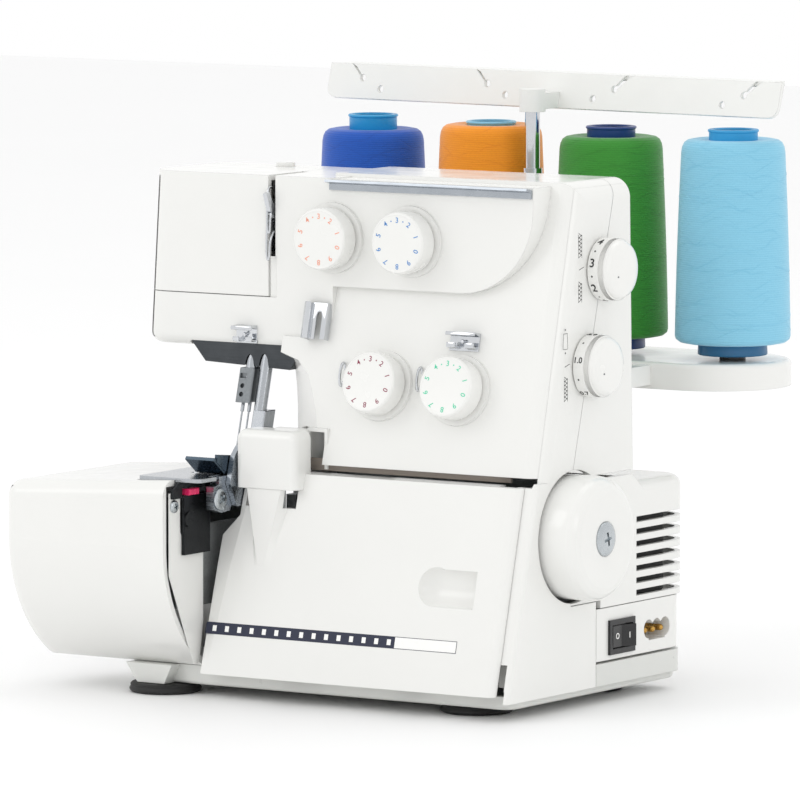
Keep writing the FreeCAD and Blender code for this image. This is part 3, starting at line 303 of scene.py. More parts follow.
@dataclass(frozen=True)
class WoundThread:
    """Spun polyester laid in crossing layers: soft sheen over near-level lines with slanting crossings."""

    name: str
    colour: str
    shade: str
    centre: tuple[float, float, float]
    lay_mm: float = 1.15
    cross_turns: float = 3.0

    def make(self) -> bpy.types.Material:
        """Builds the material, whose lines wind round the cone's own axis."""
        material, tree, where = blank_material(self.name)

        def sum_of(kind: str, first, second=0.0) -> bpy.types.NodeSocket:
            """One step of arithmetic on sockets or numbers."""
            return add_node(tree, "ShaderNodeMath", {0: first, 1: second}, operation=kind).outputs[0]

        about = add_node(
            tree, "ShaderNodeMapping", {"Vector": where, "Location": [-c for c in self.centre]}
        ).outputs["Vector"]
        axes = add_node(tree, "ShaderNodeSeparateXYZ", {"Vector": about}).outputs
        angle = sum_of("ARCTAN2", axes["Y"], axes["X"])
        wander = sum_of("MULTIPLY", noise(tree, where, 9.0, 2.0), 2.6)
        # thread is 0.25 mm thick; one drawn line stands for about four lays so that it shows
        rise = sum_of("MULTIPLY", axes["Z"], math.tau / (self.lay_mm * MM))
        lines = sum_of("SINE", sum_of("ADD", rise, sum_of("ADD", angle, wander)))
        drift = sum_of("MULTIPLY", noise(tree, where, 26.0, 2.0), 11.0)
        slant = sum_of("ADD", sum_of("MULTIPLY", axes["Z"], math.tau / (self.lay_mm * 9 * MM)), drift)
        crossing = sum_of("SINE", sum_of("ADD", slant, sum_of("MULTIPLY", angle, self.cross_turns)))
        back_turn = sum_of("MULTIPLY", angle, self.cross_turns + 1)
        back_crossing = sum_of("SINE", sum_of("SUBTRACT", slant, back_turn))
        peak = sum_of("POWER", sum_of("MAXIMUM", sum_of("MAXIMUM", crossing, back_crossing), 0.0), 30.0)
        deep = sum_of("MULTIPLY", peak, spread(tree, noise(tree, where, 17.0, 1.0), 0.0, 0.9))
        height = sum_of("SUBTRACT", sum_of("MULTIPLY", lines, 0.5), deep)
        fuzz = noise(tree, where, 0.7, 4.0)
        # the crossings' grooves are painted darker, painted shade; the fuzz gives a random fibre tone, and
        # the lay lines a faint stripe of tone
        dark = sum_of("ADD", sum_of("MULTIPLY", deep, 0.35), sum_of("MULTIPLY", fuzz, 0.45))
        tone = two_tone(tree, sum_of("ADD", dark, sum_of("MULTIPLY", lines, 0.12)), self.colour, self.shade)
        bump = add_node(
            tree,
            "ShaderNodeBump",
            {"Strength": 0.6, "Distance": 0.14 * MM, "Height": sum_of("ADD", height, fuzz)},
        )
        shader = add_node(
            tree,
            "ShaderNodeBsdfPrincipled",
            {
                "Base Color": tone,
                "Roughness": 0.72,
                "Sheen Weight": 0.35,
                "Sheen Roughness": 0.4,
                "Normal": bump.outputs["Normal"],
            },
        )
        add_node(tree, "ShaderNodeOutputMaterial", {"Surface": shader.outputs["BSDF"]})
        return material


FINISHES = {
    f.name: f
    for f in (
        MouldedPlastic("gloss_white_abs", "#eeeeeb", "#eaeae7", roughness=0.15),
        MouldedPlastic("satin_white_abs", "#eeeeeb", "#e9eae7", roughness=0.34, peel_mm=1.4),
        MouldedPlastic("light_grey_abs", "#dfe0dc", "#d9dad6", roughness=0.32),
        MouldedPlastic("dial_white_abs", "#f0f0ed", "#ebebe8", roughness=0.22, edge_mm=0.3),
        MouldedPlastic("black_abs", "#0b0b0d", "#101113", roughness=0.2),
        # painted shade: the grey of the shadow in the seam over the looper cover, worn by the seam plate
        MouldedPlastic("seam_shade_grey_abs", "#8f857d", "#857b72", roughness=0.45),
        MouldedPlastic("pink_abs", "#ee2f6b", "#e42a63", roughness=0.25, edge_mm=0.3),
        MouldedPlastic("deep_blue_core_pp", "#1f9fd6", "#1b93c8", roughness=0.34),
        MouldedPlastic("pale_blue_core_pp", "#7fc2e0", "#74b8d8", roughness=0.34),
        MouldedPlastic("navy_core_pp", "#1b3f86", "#18387a", roughness=0.34),
        MouldedPlastic("cyan_core_pp", "#3aa6dd", "#359bd0", roughness=0.34),
        MouldedPlastic("teal_core_pp", "#256f9c", "#20658f", roughness=0.34),
        MouldedPlastic("nylon_gear", "#e6e2d6", "#ddd8ca", roughness=0.4),
        WorkedMetal("chromed_steel", "#d9dbde", "#c6c9cd", 0.08, Grain.POLISHED, 2.0, 0.002),
        WorkedMetal("ground_steel", "#b9bcc0", "#a7abb0", 0.22, Grain.GROUND_ALONG_Z),
        WorkedMetal("brushed_steel", "#b4b9bf", "#9da3aa", 0.26, Grain.BRUSHED_ALONG_X),
        WorkedMetal("blued_steel", "#5c6a76", "#47545f", 0.22, Grain.POLISHED, 1.2),
        # painted shade: steel darkened to the shade under the arm, worn by the arm's sole plate
        WorkedMetal("dark_steel", "#55585b", "#434649", 0.38, Grain.BRUSHED_ALONG_X),
        WorkedMetal("zinc_plate", "#c9ced1", "#aeb4b8", 0.24, Grain.POLISHED, 1.6, 0.006),
        WorkedMetal("cast_zinc", "#8b8f92", "#777b7e", 0.4, Grain.CAST, 0.9, 0.02),
        WorkedMetal("cast_aluminium", "#a9acad", "#96999a", 0.5, Grain.CAST, 1.4, 0.05),
        WorkedMetal("black_oxide_steel", "#1d1f21", "#2a2c2f", 0.36, Grain.CAST, 0.9, 0.01, 0.7),
        WorkedMetal("turned_brass", "#cda45a", "#b88d45", 0.24, Grain.POLISHED, 1.0),
        WorkedMetal("enamelled_steel", "#3c4348", "#343a3f", 0.42, Grain.CAST, 1.2, 0.02, 0.15),
        Rubber("moulded_rubber", "#121212", "#232323"),
        Rubber("belt_rubber", "#1a1a1b", "#2c2c2c", 0.7),
        PadPrint("navy_label", "#1b2036", "#222842"),
        PadPrint("white_label", "#fbfbf9", "#f5f5f2", 0.3),
        PadPrint("black_print", "#111214", "#1e1f22"),
        PadPrint("grey_print", "#5c5f63", "#6d7074"),
        PadPrint("salmon_print", "#ee9477", "#f0a48a"),
        PadPrint("blue_print", "#3b7fc4", "#5290cd"),
        PadPrint("maroon_print", "#8a3049", "#96455b"),
        PadPrint("mint_print", "#43cfa2", "#5fd6ae"),
    )
}

_made: dict[str, bpy.types.Material] = {}


def finish(name: str) -> bpy.types.Material:
    """Gives the material of that finish, and makes it the first time."""
    if name not in _made:
        _made[name] = FINISHES[name].make()
    return _made[name]


COVERS_DRESS = {
    "gloss_white_abs": (
        "front_cover rear_cover face_cover belt_cover terminal_box side_cover looper_cover end_plate"
        " spool_stand looper_guard"
    ),
    "satin_white_abs": "thread_guide_bar",
    "light_grey_abs": "base_tray",
    "dial_white_abs": "tension_dial_1 tension_dial_2 tension_dial_3 tension_dial_4 stitch_length_dial"
    " differential_dial handwheel pressure_screw",
    "black_abs": "switch_bezel power_rocker spool_pins presser_lifter",
    "pink_abs": "stitch_finger_knob",
    "chromed_steel": "mast_tube mast_rod take_up_lever small_thread_guides tension_discs",
    "ground_steel": "hinge_rod needle_bar presser_bar main_shaft needles needle_plate feed_dog",
    "brushed_steel": "guide_strip lower_knife upper_knife lower_looper upper_looper",
    "blued_steel": "presser_foot",
    # the sole plate's darkened steel is painted shade under the arm
    "dark_steel": "arm_sole_plate",
    "zinc_plate": "handwheel_screw cover_screws",
    "cast_zinc": "needle_clamp",
    "cast_aluminium": "chassis_frame bed_frame",
    "black_oxide_steel": "knife_bracket",
    "turned_brass": "inlet_pins",
    "enamelled_steel": "motor",
    "nylon_gear": "drive_pulley motor_pulley",
    "moulded_rubber": "rubber_feet",
    "belt_rubber": "timing_belt",
}


# ---- workbench -----------------------------------------------------------------------------------
def clear_selection() -> None:
    """Leaves edit mode and deselects everything."""
    active = bpy.context.view_layer.objects.active
    if active is not None and active.mode != "OBJECT":
        bpy.ops.object.mode_set(mode="OBJECT")
    for thing in bpy.context.selected_objects:
        thing.select_set(False)


def take(piece: bpy.types.Object) -> None:
    """Makes piece the only selected and the active object."""
    clear_selection()
    piece.select_set(True)
    bpy.context.view_layer.objects.active = piece


@contextmanager
def editing(piece: bpy.types.Object, kind: str = "FACE", everything: bool = False) -> Iterator[None]:
    """Edit mode on piece.

    Args:
        piece: the mesh object to edit.
        kind: what the selection is made of, VERT, EDGE or FACE.
        everything: True to select all of it, False to keep what was picked.
    """
    take(piece)
    bpy.ops.object.mode_set(mode="EDIT")
    bpy.context.tool_settings.mesh_select_mode = (kind == "VERT", kind == "EDGE", kind == "FACE")
    if everything:
        bpy.ops.mesh.select_all(action="SELECT")
    yield
    bpy.ops.object.mode_set(mode="OBJECT")


def pick_faces(piece: bpy.types.Object, test: Test) -> int:
    """Selects the faces for which test(centre, normal) is true, both in the piece's own metres.

    Args:
        piece: the mesh object.
        test: says whether a face is wanted.

    Returns:
        How many faces were selected.
    """
    mesh = piece.data
    mesh.vertices.foreach_set("select", [False] * len(mesh.vertices))
    mesh.edges.foreach_set("select", [False] * len(mesh.edges))
    wanted = [bool(test(face.center, face.normal)) for face in mesh.polygons]
    mesh.polygons.foreach_set("select", wanted)
    return sum(wanted)


def wire_outline(name: str, points: Sequence[Vector], closed: bool) -> bpy.types.Object:
    """Draws a chain of edges by extruding one vertex from point to point.

    Args:
        name: the new object's name.
        points: the corners, in millimetres.
        closed: True to join the last point to the first.

    Returns:
        The object, a wire with no face.
    """
    clear_selection()
    bpy.ops.mesh.primitive_plane_add(size=MM)
    piece = bpy.context.object
    piece.name = name
    with editing(piece, "VERT", True):
        bpy.ops.mesh.merge(type="CENTER")
        bpy.ops.transform.translate(value=points[0] * MM)
        for before, after in zip(points, points[1:]):
            bpy.ops.mesh.extrude_vertices_move(TRANSFORM_OT_translate={"value": (after - before) * MM})
        if closed:
            bpy.ops.mesh.select_all(action="SELECT")
            bpy.ops.mesh.edge_face_add()
    return piece


def turned(name: str, outline: Sequence[Point], steps: int = 96) -> bpy.types.Object:
    """Turns an outline round Z, as on a lathe.

    Args:
        name: the new object's name.
        outline: (radius, height) corners in millimetres, from the back round to the front.
        steps: how many facets go round.

    Returns:
        The turned piece, closed, with its faces pointing out.
    """
    piece = wire_outline(name, [Vector((r, 0, h)) for r, h in outline], False)
    with editing(piece, "VERT", True):
        bpy.ops.mesh.spin(steps=steps, angle=math.tau, center=(0, 0, 0), axis=(0, 0, 1), use_auto_merge=True)
        bpy.ops.mesh.select_all(action="SELECT")
        bpy.ops.mesh.remove_doubles(threshold=0.002 * MM)
        bpy.ops.mesh.normals_make_consistent(inside=False)
    return piece


def plate(name: str, outline: Sequence[Point], low: float, high: float) -> bpy.types.Object:
    """A flat outline given a thickness along Z.

    Args:
        name: the new object's name.
        outline: (x, y) corners in millimetres.
        low: height of its underside.
        high: height of its upper side.

    Returns:
        The plate.
    """
    piece = wire_outline(name, [Vector((x, y, low)) for x, y in outline], True)
    with editing(piece, "FACE", True):
        bpy.ops.mesh.extrude_region_move(TRANSFORM_OT_translate={"value": (0, 0, (high - low) * MM)})
        bpy.ops.mesh.select_all(action="SELECT")
        bpy.ops.mesh.normals_make_consistent(inside=False)
    return piece


def block(name: str, size: Sequence[float], centre: Sequence[float] = (0, 0, 0)) -> bpy.types.Object:
    """A cube primitive at its size and place, in millimetres, ready to be shaped."""
    clear_selection()
    bpy.ops.mesh.primitive_cube_add(size=1, location=Vector(centre) * MM, scale=Vector(size) * MM)
    piece = bpy.context.object
    piece.name = name
    bpy.ops.object.transform_apply(location=True, rotation=True, scale=True)
    return piece


def soften(piece: bpy.types.Object, width: float, segments: int = 2, angle: float = 30.0) -> bpy.types.Object:
    """Rounds every edge sharper than angle, and applies it.

    Args:
        piece: the mesh object.
        width: how wide the rounding is, in millimetres.
        segments: facets across it.
        angle: the least turn in degrees that counts as an edge.

    Returns:
        The same piece.
    """
    take(piece)
    bevel = piece.modifiers.new("soften", "BEVEL")
    bevel.width = width * MM
    bevel.segments = segments
    bevel.limit_method = "ANGLE"
    bevel.angle_limit = math.radians(angle)
    bevel.use_clamp_overlap = True
    bpy.ops.object.modifier_apply(modifier=bevel.name)
    return piece


def inset(piece: bpy.types.Object, test: Test, thickness: float, depth: float, each: bool = False) -> None:
    """Insets the faces that pass the test and sinks them, or raises them if depth is positive.

    Args:
        piece: the mesh object.
        test: says whether a face is wanted.
        thickness: width of the new rim in millimetres.
        depth: how far the inner face moves along its normal.
        each: True to treat every face alone.
    """
    if pick_faces(piece, test):
        with editing(piece):
            bpy.ops.mesh.inset(thickness=thickness * MM, depth=depth * MM, use_individual=each)


def carve(piece: bpy.types.Object, punch: bpy.types.Object) -> None:
    """Cuts punch's shape out of piece and removes the punch."""
    take(piece)
    cut = piece.modifiers.new("carve", "BOOLEAN")
    cut.object = punch
    cut.operation = "DIFFERENCE"
    cut.solver = "EXACT"
    bpy.ops.object.modifier_apply(modifier=cut.name)
    bpy.data.objects.remove(punch)


def join(name: str, pieces: Sequence[bpy.types.Object]) -> bpy.types.Object:
    """Joins pieces of the same finish into one object of that name."""
    take(pieces[0])
    for other in pieces[1:]:
        other.select_set(True)
    if len(pieces) > 1:
        bpy.ops.object.join()
    joined = bpy.context.view_layer.objects.active
    joined.name = name
    return joined


def settle(piece: bpy.types.Object, seat: Matrix) -> bpy.types.Object:
    """Puts a piece on its seat, with its place in its mesh and its object at the origin."""
    take(piece)
    piece.matrix_world = seat @ piece.matrix_world
    bpy.ops.object.transform_apply(location=True, rotation=True, scale=True)
    return piece


def copied(piece: bpy.types.Object, name: str) -> bpy.types.Object:
    """A copy of piece with its own mesh."""
    other = piece.copy()
    other.data = piece.data.copy()
    other.name = name
    bpy.context.scene.collection.objects.link(other)
    return other


def hand_over(piece: bpy.types.Object, finish_name: str, body: str, angle: float = 35.0) -> bpy.types.Object:
    """Gives a finished piece its smoothing, its finish and the body that it rides on.

    Args:
        piece: the finished mesh object.
        finish_name: a name in FINISHES.
        body: the CAD body that it moves with.
        angle: edges sharper than this many degrees stay crisp.

    Returns:
        The same piece.
    """
    take(piece)
    bpy.ops.object.shade_smooth_by_angle(angle=math.radians(angle))
    piece.data.materials.clear()
    piece.data.materials.append(finish(finish_name))
    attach(piece, body)
    log.info("%s: %d faces, %s, on %s", piece.name, len(piece.data.polygons), finish_name, body)
    return piece


def lettering(name: str, text: str, height: float, proud: float = 0.12) -> bpy.types.Object:
    """A figure cut from ink film, lying on Z = 0 and centred on the origin.

    Args:
        name: the new object's name.
        text: generic characters, such as a digit.
        height: height of a capital in millimetres.
        proud: thickness of the film.

    Returns:
        The figure as a mesh.
    """
    clear_selection()
    bpy.ops.object.text_add()
    piece = bpy.context.object
    piece.name = name
    words = piece.data
    words.body = text
    words.size = height * MM * 1.37
    words.extrude = proud * MM / 2
    words.offset = height * MM * 0.012
    words.resolution_u = 4
    words.align_x = "CENTER"
    words.align_y = "CENTER"
    bpy.ops.object.convert(target="MESH")
    return bpy.context.object


def bent_wire(name: str, points: Sequence[Vector], radius: float, closed: bool = False) -> bpy.types.Object:
    """A round wire through points, in millimetres, as a mesh.

    Args:
        name: the new object's name.
        points: where the middle of the wire runs.
        radius: of the wire.
        closed: True for a ring.

    Returns:
        The wire.
    """
    curve = bpy.data.curves.new(name, "CURVE")
    curve.dimensions = "3D"
    curve.bevel_depth = radius * MM
    curve.bevel_resolution = 2
    curve.resolution_u = 4
    curve.use_fill_caps = True
    line = curve.splines.new("NURBS")
    line.points.add(len(points) - 1)
    for knot, where in zip(line.points, points):
        knot.co = (*(where * MM), 1)
    line.order_u = 3
    line.use_endpoint_u = not closed
    line.use_cyclic_u = closed
    piece = bpy.data.objects.new(name, curve)
    bpy.context.scene.collection.objects.link(piece)
    take(piece)
    bpy.ops.object.convert(target="MESH")
    return bpy.context.object


# ---- places taken from the frame -------------------------------------------------------------------
@dataclass(frozen=True)
class Frame:
    """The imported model: its nodes, and which body and joint each one has."""

    nodes: dict[str, bpy.types.Object]
    joints: dict[str, dict]
    body_of: dict[str, str]

    @classmethod
    def load(cls) -> Frame:
        """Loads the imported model."""
        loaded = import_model()
        bodies = loaded["record"]["behaviour"]["bodies"]
        owners = {node: body for body, nodes in bodies.items() for node in nodes}
        return cls(loaded["nodes"], {j["name"]: j for j in loaded["joints"]}, owners)

    def box(self, node: str) -> tuple[Vector, Vector]:
        """Lowest and highest corner of a node in millimetres."""
        low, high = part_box(node)
        return low / MM, high / MM

    def spindle(self, node: str, joint: str, outward: Sequence[float]) -> Spindle:
        """The axis a round node turns on.

        Args:
            node: the round node.
            joint: the hinge that it turns on.
            outward: roughly the way that its front faces.

        Returns:
            The spindle, with the node's reach along and round it in millimetres.
        """
        facts = self.joints[joint]
        axis = Vector(facts["axis"]).normalized()
        if axis.dot(Vector(outward)) < 0:
            axis.negate()
        origin = Vector(facts["pos_m"]) / MM
        offsets = [v.co / MM - origin for v in self.nodes[node].data.vertices]
        along = [o.dot(axis) for o in offsets]
        around = max((o - axis * a).length for o, a in zip(offsets, along))
        return Spindle(origin, axis, min(along), max(along), around)

    def flat(self, node: str, toward: Sequence[float], tolerance: float = 0.8) -> Flat:
        """The largest flat face of a node that looks a given way.

        Args:
            node: the node's name.
            toward: the way that it faces, roughly.
            tolerance: least cosine between the face's normal and that way.

        Returns:
            The face's plane.
        """
        way = Vector(toward).normalized()
        areas: dict[tuple, list] = {}
        mesh = self.nodes[node].data
        for face in mesh.polygons:
            if face.normal.dot(way) > tolerance:
                key = (*(round(c, 2) for c in face.normal), round(face.normal.dot(face.center) / MM, 0))
                entry = areas.setdefault(key, [0.0, Vector(), Vector()])
                entry[0] += face.area
                entry[1] += face.normal * face.area
                entry[2] += face.center * face.area
        area, normal, centre = max(areas.values(), key=lambda entry: entry[0])
        return Flat(centre / area / MM, normal.normalized())


@dataclass(frozen=True)
class Spindle:
    """A line that a round piece turns on, in millimetres, with the piece's reach along and round it."""

    origin: Vector
    axis: Vector
    low: float
    high: float
    radius: float

    def seat(self, along: float = 0.0, up: Sequence[float] = (0, 0, 1)) -> Matrix:
        """A seat on the axis.

        Args:
            along: how far out on the axis, in millimetres.
            up: roughly the way the seat's Y points.

        Returns:
            A matrix whose Z is the axis.
        """
        return facing((self.origin + self.axis * along) * MM, self.axis, Vector(up))


@dataclass(frozen=True)
class Flat:
    """A flat face of a cover, through a point and square to a normal, in millimetres."""

    point: Vector
    normal: Vector

    def at(self, x: float, z: float, proud: float = 0.0, roll: float = 0.0) -> Matrix:
        """A seat on a face that looks forwards.

        Args:
            x: where it is across.
            z: its height.
            proud: how far above the face.
            roll: turn in the face's plane, in degrees.

        Returns:
            A matrix whose Z is the normal and whose Y points up the face.
        """
        away = self.normal
        y = self.point.y - ((x - self.point.x) * away.x + (z - self.point.z) * away.z) / away.y
        where = Vector((x, y, z)) + away * proud
        return facing(where * MM, away, Vector((0, 0, 1))) @ Matrix.Rotation(math.radians(roll), 4, "Z")

    def beside(self, y: float, z: float, proud: float = 0.0, roll: float = 0.0) -> Matrix:
        """A seat on a face that looks sideways, at y and z; otherwise as for at."""
        away = self.normal
        x = self.point.x - ((y - self.point.y) * away.y + (z - self.point.z) * away.z) / away.x
        where = Vector((x, y, z)) + away * proud
        return facing(where * MM, away, Vector((0, 0, 1))) @ Matrix.Rotation(math.radians(roll), 4, "Z")


def facing(where: Vector, normal: Vector, up: Vector) -> Matrix:
    """A matrix at where, in metres, with Z along normal and Y as near to up as it can be."""
    z = normal.normalized()
    x = up.cross(z).normalized()
    y = z.cross(x)
    return Matrix.Translation(where) @ Matrix((x, y, z)).transposed().to_4x4()


# ---- the room --------------------------------------------------------------------------------------
@dataclass(frozen=True)
class Studio:
    """A white table and backdrop, broad soft lights and the camera."""

    azimuth: float = 33.0
    elevation: float = 5.6
    target_mm: tuple[float, float, float] = (-2.55, -5.0, 150.0)
    distance_m: float = 4.6
    lens: float = 393.3
    shift_x: float = -0.0135
    shift_y: float = 0.0
    floor_mm: float = 9000.0

    def build(self) -> None:
        """Builds the whole room."""
        self.place_camera()
        self.place_floor()
        self.place_lights()

    def place_camera(self) -> None:
        """Stands the camera off to the operator's right, a little above the table."""
        turn, lift = math.radians(self.azimuth), math.radians(self.elevation)
        back = Vector((math.sin(turn) * math.cos(lift), -math.cos(turn) * math.cos(lift), math.sin(lift)))
        data = bpy.data.cameras.new("camera")
        data.lens = self.lens
        data.sensor_width = 36.0
        data.shift_x, data.shift_y = self.shift_x, self.shift_y
        data.clip_start, data.clip_end = 0.1, 60.0
        camera = bpy.data.objects.new("camera", data)
        bpy.context.scene.collection.objects.link(camera)
        camera.location = Vector(self.target_mm) * MM + back * self.distance_m
        camera.rotation_euler = (-back).to_track_quat("-Z", "Y").to_euler()
        bpy.context.scene.camera = camera

    def place_floor(self) -> None:
        """Lays the pale floor under the feet."""
        clear_selection()
        bpy.ops.mesh.primitive_plane_add(size=self.floor_mm * MM, location=(0, 0, -0.0002))
        floor = bpy.context.object
        floor.name = "floor"
        material, tree, where = blank_material("pale_floor")
        tone = two_tone(tree, noise(tree, where, 300.0), "#fafafa", "#f8f8f8")
        shader = add_node(tree, "ShaderNodeBsdfPrincipled", {"Base Color": tone, "Roughness": 0.6})
        add_node(tree, "ShaderNodeOutputMaterial", {"Surface": shader.outputs["BSDF"]})
        floor.data.materials.append(material)

    def place_lights(self) -> None:
        """Hangs broad lamps over a white surrounding."""
        world = bpy.data.worlds.new("white_room")
        world.use_nodes = True
        world.node_tree.nodes["Background"].inputs["Color"].default_value = linear("#ffffff")
        world.node_tree.nodes["Background"].inputs["Strength"].default_value = 1.0
        bpy.context.scene.world = world
        bpy.context.scene.view_settings.view_transform = "Standard"
        lamps = (
            ("key_lamp", (-1.5, -2.2, 1.9), 1.5, 9.0),
            ("side_lamp", (2.6, -0.8, 1.0), 0.8, 2.5),
            ("top_lamp", (0.2, 0.9, 2.4), 1.4, 6.0),
        )
        for name, where, size, power in lamps:
            data = bpy.data.lights.new(name, "AREA")
            data.energy = power
            data.size = size
            lamp = bpy.data.objects.new(name, data)
            bpy.context.scene.collection.objects.link(lamp)
            lamp.location = where
            lamp.rotation_euler = (Vector((0, 0, 0.15)) - Vector(where)).to_track_quat("-Z", "Y").to_euler()


# ---- dials -----------------------------------------------------------------------------------------
class Figures(Enum):
    """What is printed round a dial's face: colour of each thread's ink."""

    LEFT_NEEDLE = "salmon_print"
    RIGHT_NEEDLE = "blue_print"
    UPPER_LOOPER = "maroon_print"
    LOWER_LOOPER = "mint_print"


@dataclass
class TensionDial:
    """A moulded cap that sets one thread's tension, with a ring of figures printed on its face."""

    frame: Frame
    node: str
    joint: str
    ink: Figures
    rim_step: float = 0.7
    face_dish: float = 0.25
    figure_height: float = 2.9
    ring_radius: float = 11.9
    order: str = "3210987654"
    start_deg: float = 90.0
    step_deg: float = 36.0
    dots: tuple[float, ...] = (18.0, -18.0)

    def build(self) -> None:
        """Builds the cap and its print."""
        spindle = self.frame.spindle(self.node, self.joint, (0, -1, 0))
        body = self.frame.body_of[self.node]
        cap = settle(self.cap(spindle), spindle.seat())
        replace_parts(hand_over(cap, "dial_white_abs", body), self.node)
        ring = settle(self.print_ring(), spindle.seat(spindle.high - self.face_dish))
        hand_over(ring, self.ink.value, body)

    def cap(self, spindle: Spindle) -> bpy.types.Object:
        """Turns the cap: a shadow gap at its foot, a straight skirt, a crisp rim and a dished face."""
        r, top, foot = spindle.radius, spindle.high, spindle.high - 12.0
        outline = [
            (0.0, spindle.low),
            (4.0, spindle.low),
            (4.0, foot),
            (r - 2.2, foot),
            (r - 1.4, foot + 0.5),
            (r - 1.4, foot + 1.1),
            (r, foot + 1.6),
            (r - self.rim_step * 0.5, top - 1.0),
            (r - self.rim_step - 0.4, top),
            (r - 1.5, top),
            (r - 1.9, top - self.face_dish),
            (0.0, top - self.face_dish),
        ]
        return soften(turned(self.node + "_cap", outline), 0.35, 3, 25)

    def print_ring(self) -> bpy.types.Object:
        """Sets ten figures round the face, feet to the middle, and dots beside the upper one."""
        parts = []
        for place, figure in enumerate(self.order):
            digit = lettering("figure", figure, self.figure_height)
            angle = math.radians(self.start_deg - self.step_deg * place)
            where = Vector((math.cos(angle), math.sin(angle), 0)) * self.ring_radius
            seat = Matrix.Translation(where * MM) @ Matrix.Rotation(angle - math.pi / 2, 4, "Z")
            parts.append(settle(digit, seat))
        for degrees in self.dots:
            angle = math.radians(self.start_deg + degrees)
            dot = turned("dot", [(0, 0.06), (0.38, 0.06), (0.38, -0.05), (0, -0.05)], 12)
            where = Vector((math.cos(angle), math.sin(angle), 0)) * self.ring_radius
            parts.append(settle(dot, Matrix.Translation(where * MM)))
        return join(self.node + "_figures", parts)


@dataclass
class SideDial:
    """A dial on the right side: a band of figures next to the cover, a knurled grip and a domed cap."""

    frame: Frame
    node: str
    joint: str
    band: tuple[tuple[str, float], ...]
    figure_height: float = 4.6
    ridges: int = 90
    knurl_depth: float = 0.35
    dots: tuple[float, ...] = ()
    mark_deg: float = 205.0

    def build(self) -> None:
        """Builds the dial, its figures and the small mark on its cap."""
        spindle = self.frame.spindle(self.node, self.joint, (1, 0, 0))
        body = self.frame.body_of[self.node]
        dial = settle(self.grip(spindle), spindle.seat())
        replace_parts(hand_over(dial, "dial_white_abs", body), self.node)
        hand_over(settle(self.print_band(spindle), spindle.seat()), "black_print", body)
        hand_over(settle(self.cap_mark(spindle), spindle.seat()), "grey_print", body)

    def levels(self, spindle: Spindle) -> tuple[float, float, float]:
        """Heights on the axis where the figure band, the knurl and the cap begin."""
        foot = spindle.high - 13.6
        return foot, foot + 6.2, foot + 9.6

    def grip(self, spindle: Spindle) -> bpy.types.Object:
        """Turns the dial and presses the knurl into its middle band."""
        r, top = spindle.radius, spindle.high
        foot, knurl, cap = self.levels(spindle)
        outline = [
            (0.0, spindle.low),
            (4.0, spindle.low),
            (4.0, foot),
            (r - 0.9, foot),
            (r, foot + 0.5),
            (r, knurl),
            (r - 0.35, knurl + 0.25),
            (r - 0.35, cap - 0.25),
            (r - 1.1, cap),
            (r - 1.3, top - 2.6),
            (r - 2.2, top - 1.2),
            (r - 4.0, top - 0.4),
            (r - 8.0, top),
            (0.0, top),
        ]
        dial = turned(self.node + "_grip", outline, self.ridges * 2)
        middle = (knurl + cap) / 2 * MM
        step = math.tau / (self.ridges * 2)

        def every_other(centre: Vector, normal: Vector) -> bool:
            """True for each second facet of the knurled band."""
            if abs(centre.z - middle) > 0.6 * MM or centre.xy.length < (r - 1.5) * MM:
                return False
            return round(math.atan2(centre.y, centre.x) / step - 0.5) % 2 == 0

        inset(dial, every_other, 0.06, -self.knurl_depth, each=True)
        return dial

    def print_band(self, spindle: Spindle) -> bpy.types.Object:
        """Sets figures and dots round the band, upright where the band faces the operator."""
        foot, knurl, _ = self.levels(spindle)
        parts = []
        for text, degrees in self.band:
            mark = lettering("figure", text, self.figure_height, 0.5)
            parts.append(settle(mark, self.on_band(spindle, degrees, (foot + knurl) / 2)))
        for degrees in self.dots:
            dot = turned("dot", [(0, 0.12), (0.55, 0.12), (0.55, -0.3), (0, -0.3)], 12)
            parts.append(settle(dot, self.on_band(spindle, degrees, (foot + knurl) / 2)))
        return join(self.node + "_figures", parts)

    def on_band(self, spindle: Spindle, degrees: float, height: float) -> Matrix:
        """A seat on the band.

        Args:
            spindle: the dial's axis.
            degrees: angle up from where the band faces the operator.
            height: how far out on the axis.

        Returns:
            A seat whose X runs outwards along the axis and whose Y runs up round the band.
        """
        angle = math.pi + math.radians(degrees) if self.faces_left(spindle) else math.radians(-degrees)
        radial = Vector((math.cos(angle), math.sin(angle), 0))
        place = radial * (spindle.radius - 0.12) + Vector((0, 0, height))
        along = Vector((0, 0, 1))
        turn = Matrix((along, radial.cross(along), radial)).transposed().to_4x4()
        return Matrix.Translation(place * MM) @ turn

    def faces_left(self, spindle: Spindle) -> bool:
        """True if the seat's X points away from the operator."""
        return spindle.seat().to_3x3().col[0].y > 0

    def cap_mark(self, spindle: Spindle) -> bpy.types.Object:
        """A short line on the cap that shows how far it has been turned."""
        mark = block(self.node + "_cap_mark", (1.3, 0.8, 0.2))
        soften(mark, 0.05, 1)
        angle = math.radians(self.mark_deg)
        where = Vector((math.cos(angle), math.sin(angle), 0)) * (spindle.radius - 8.6)
        return settle(mark, Matrix.Translation((where + Vector((0, 0, spindle.high))) * MM))


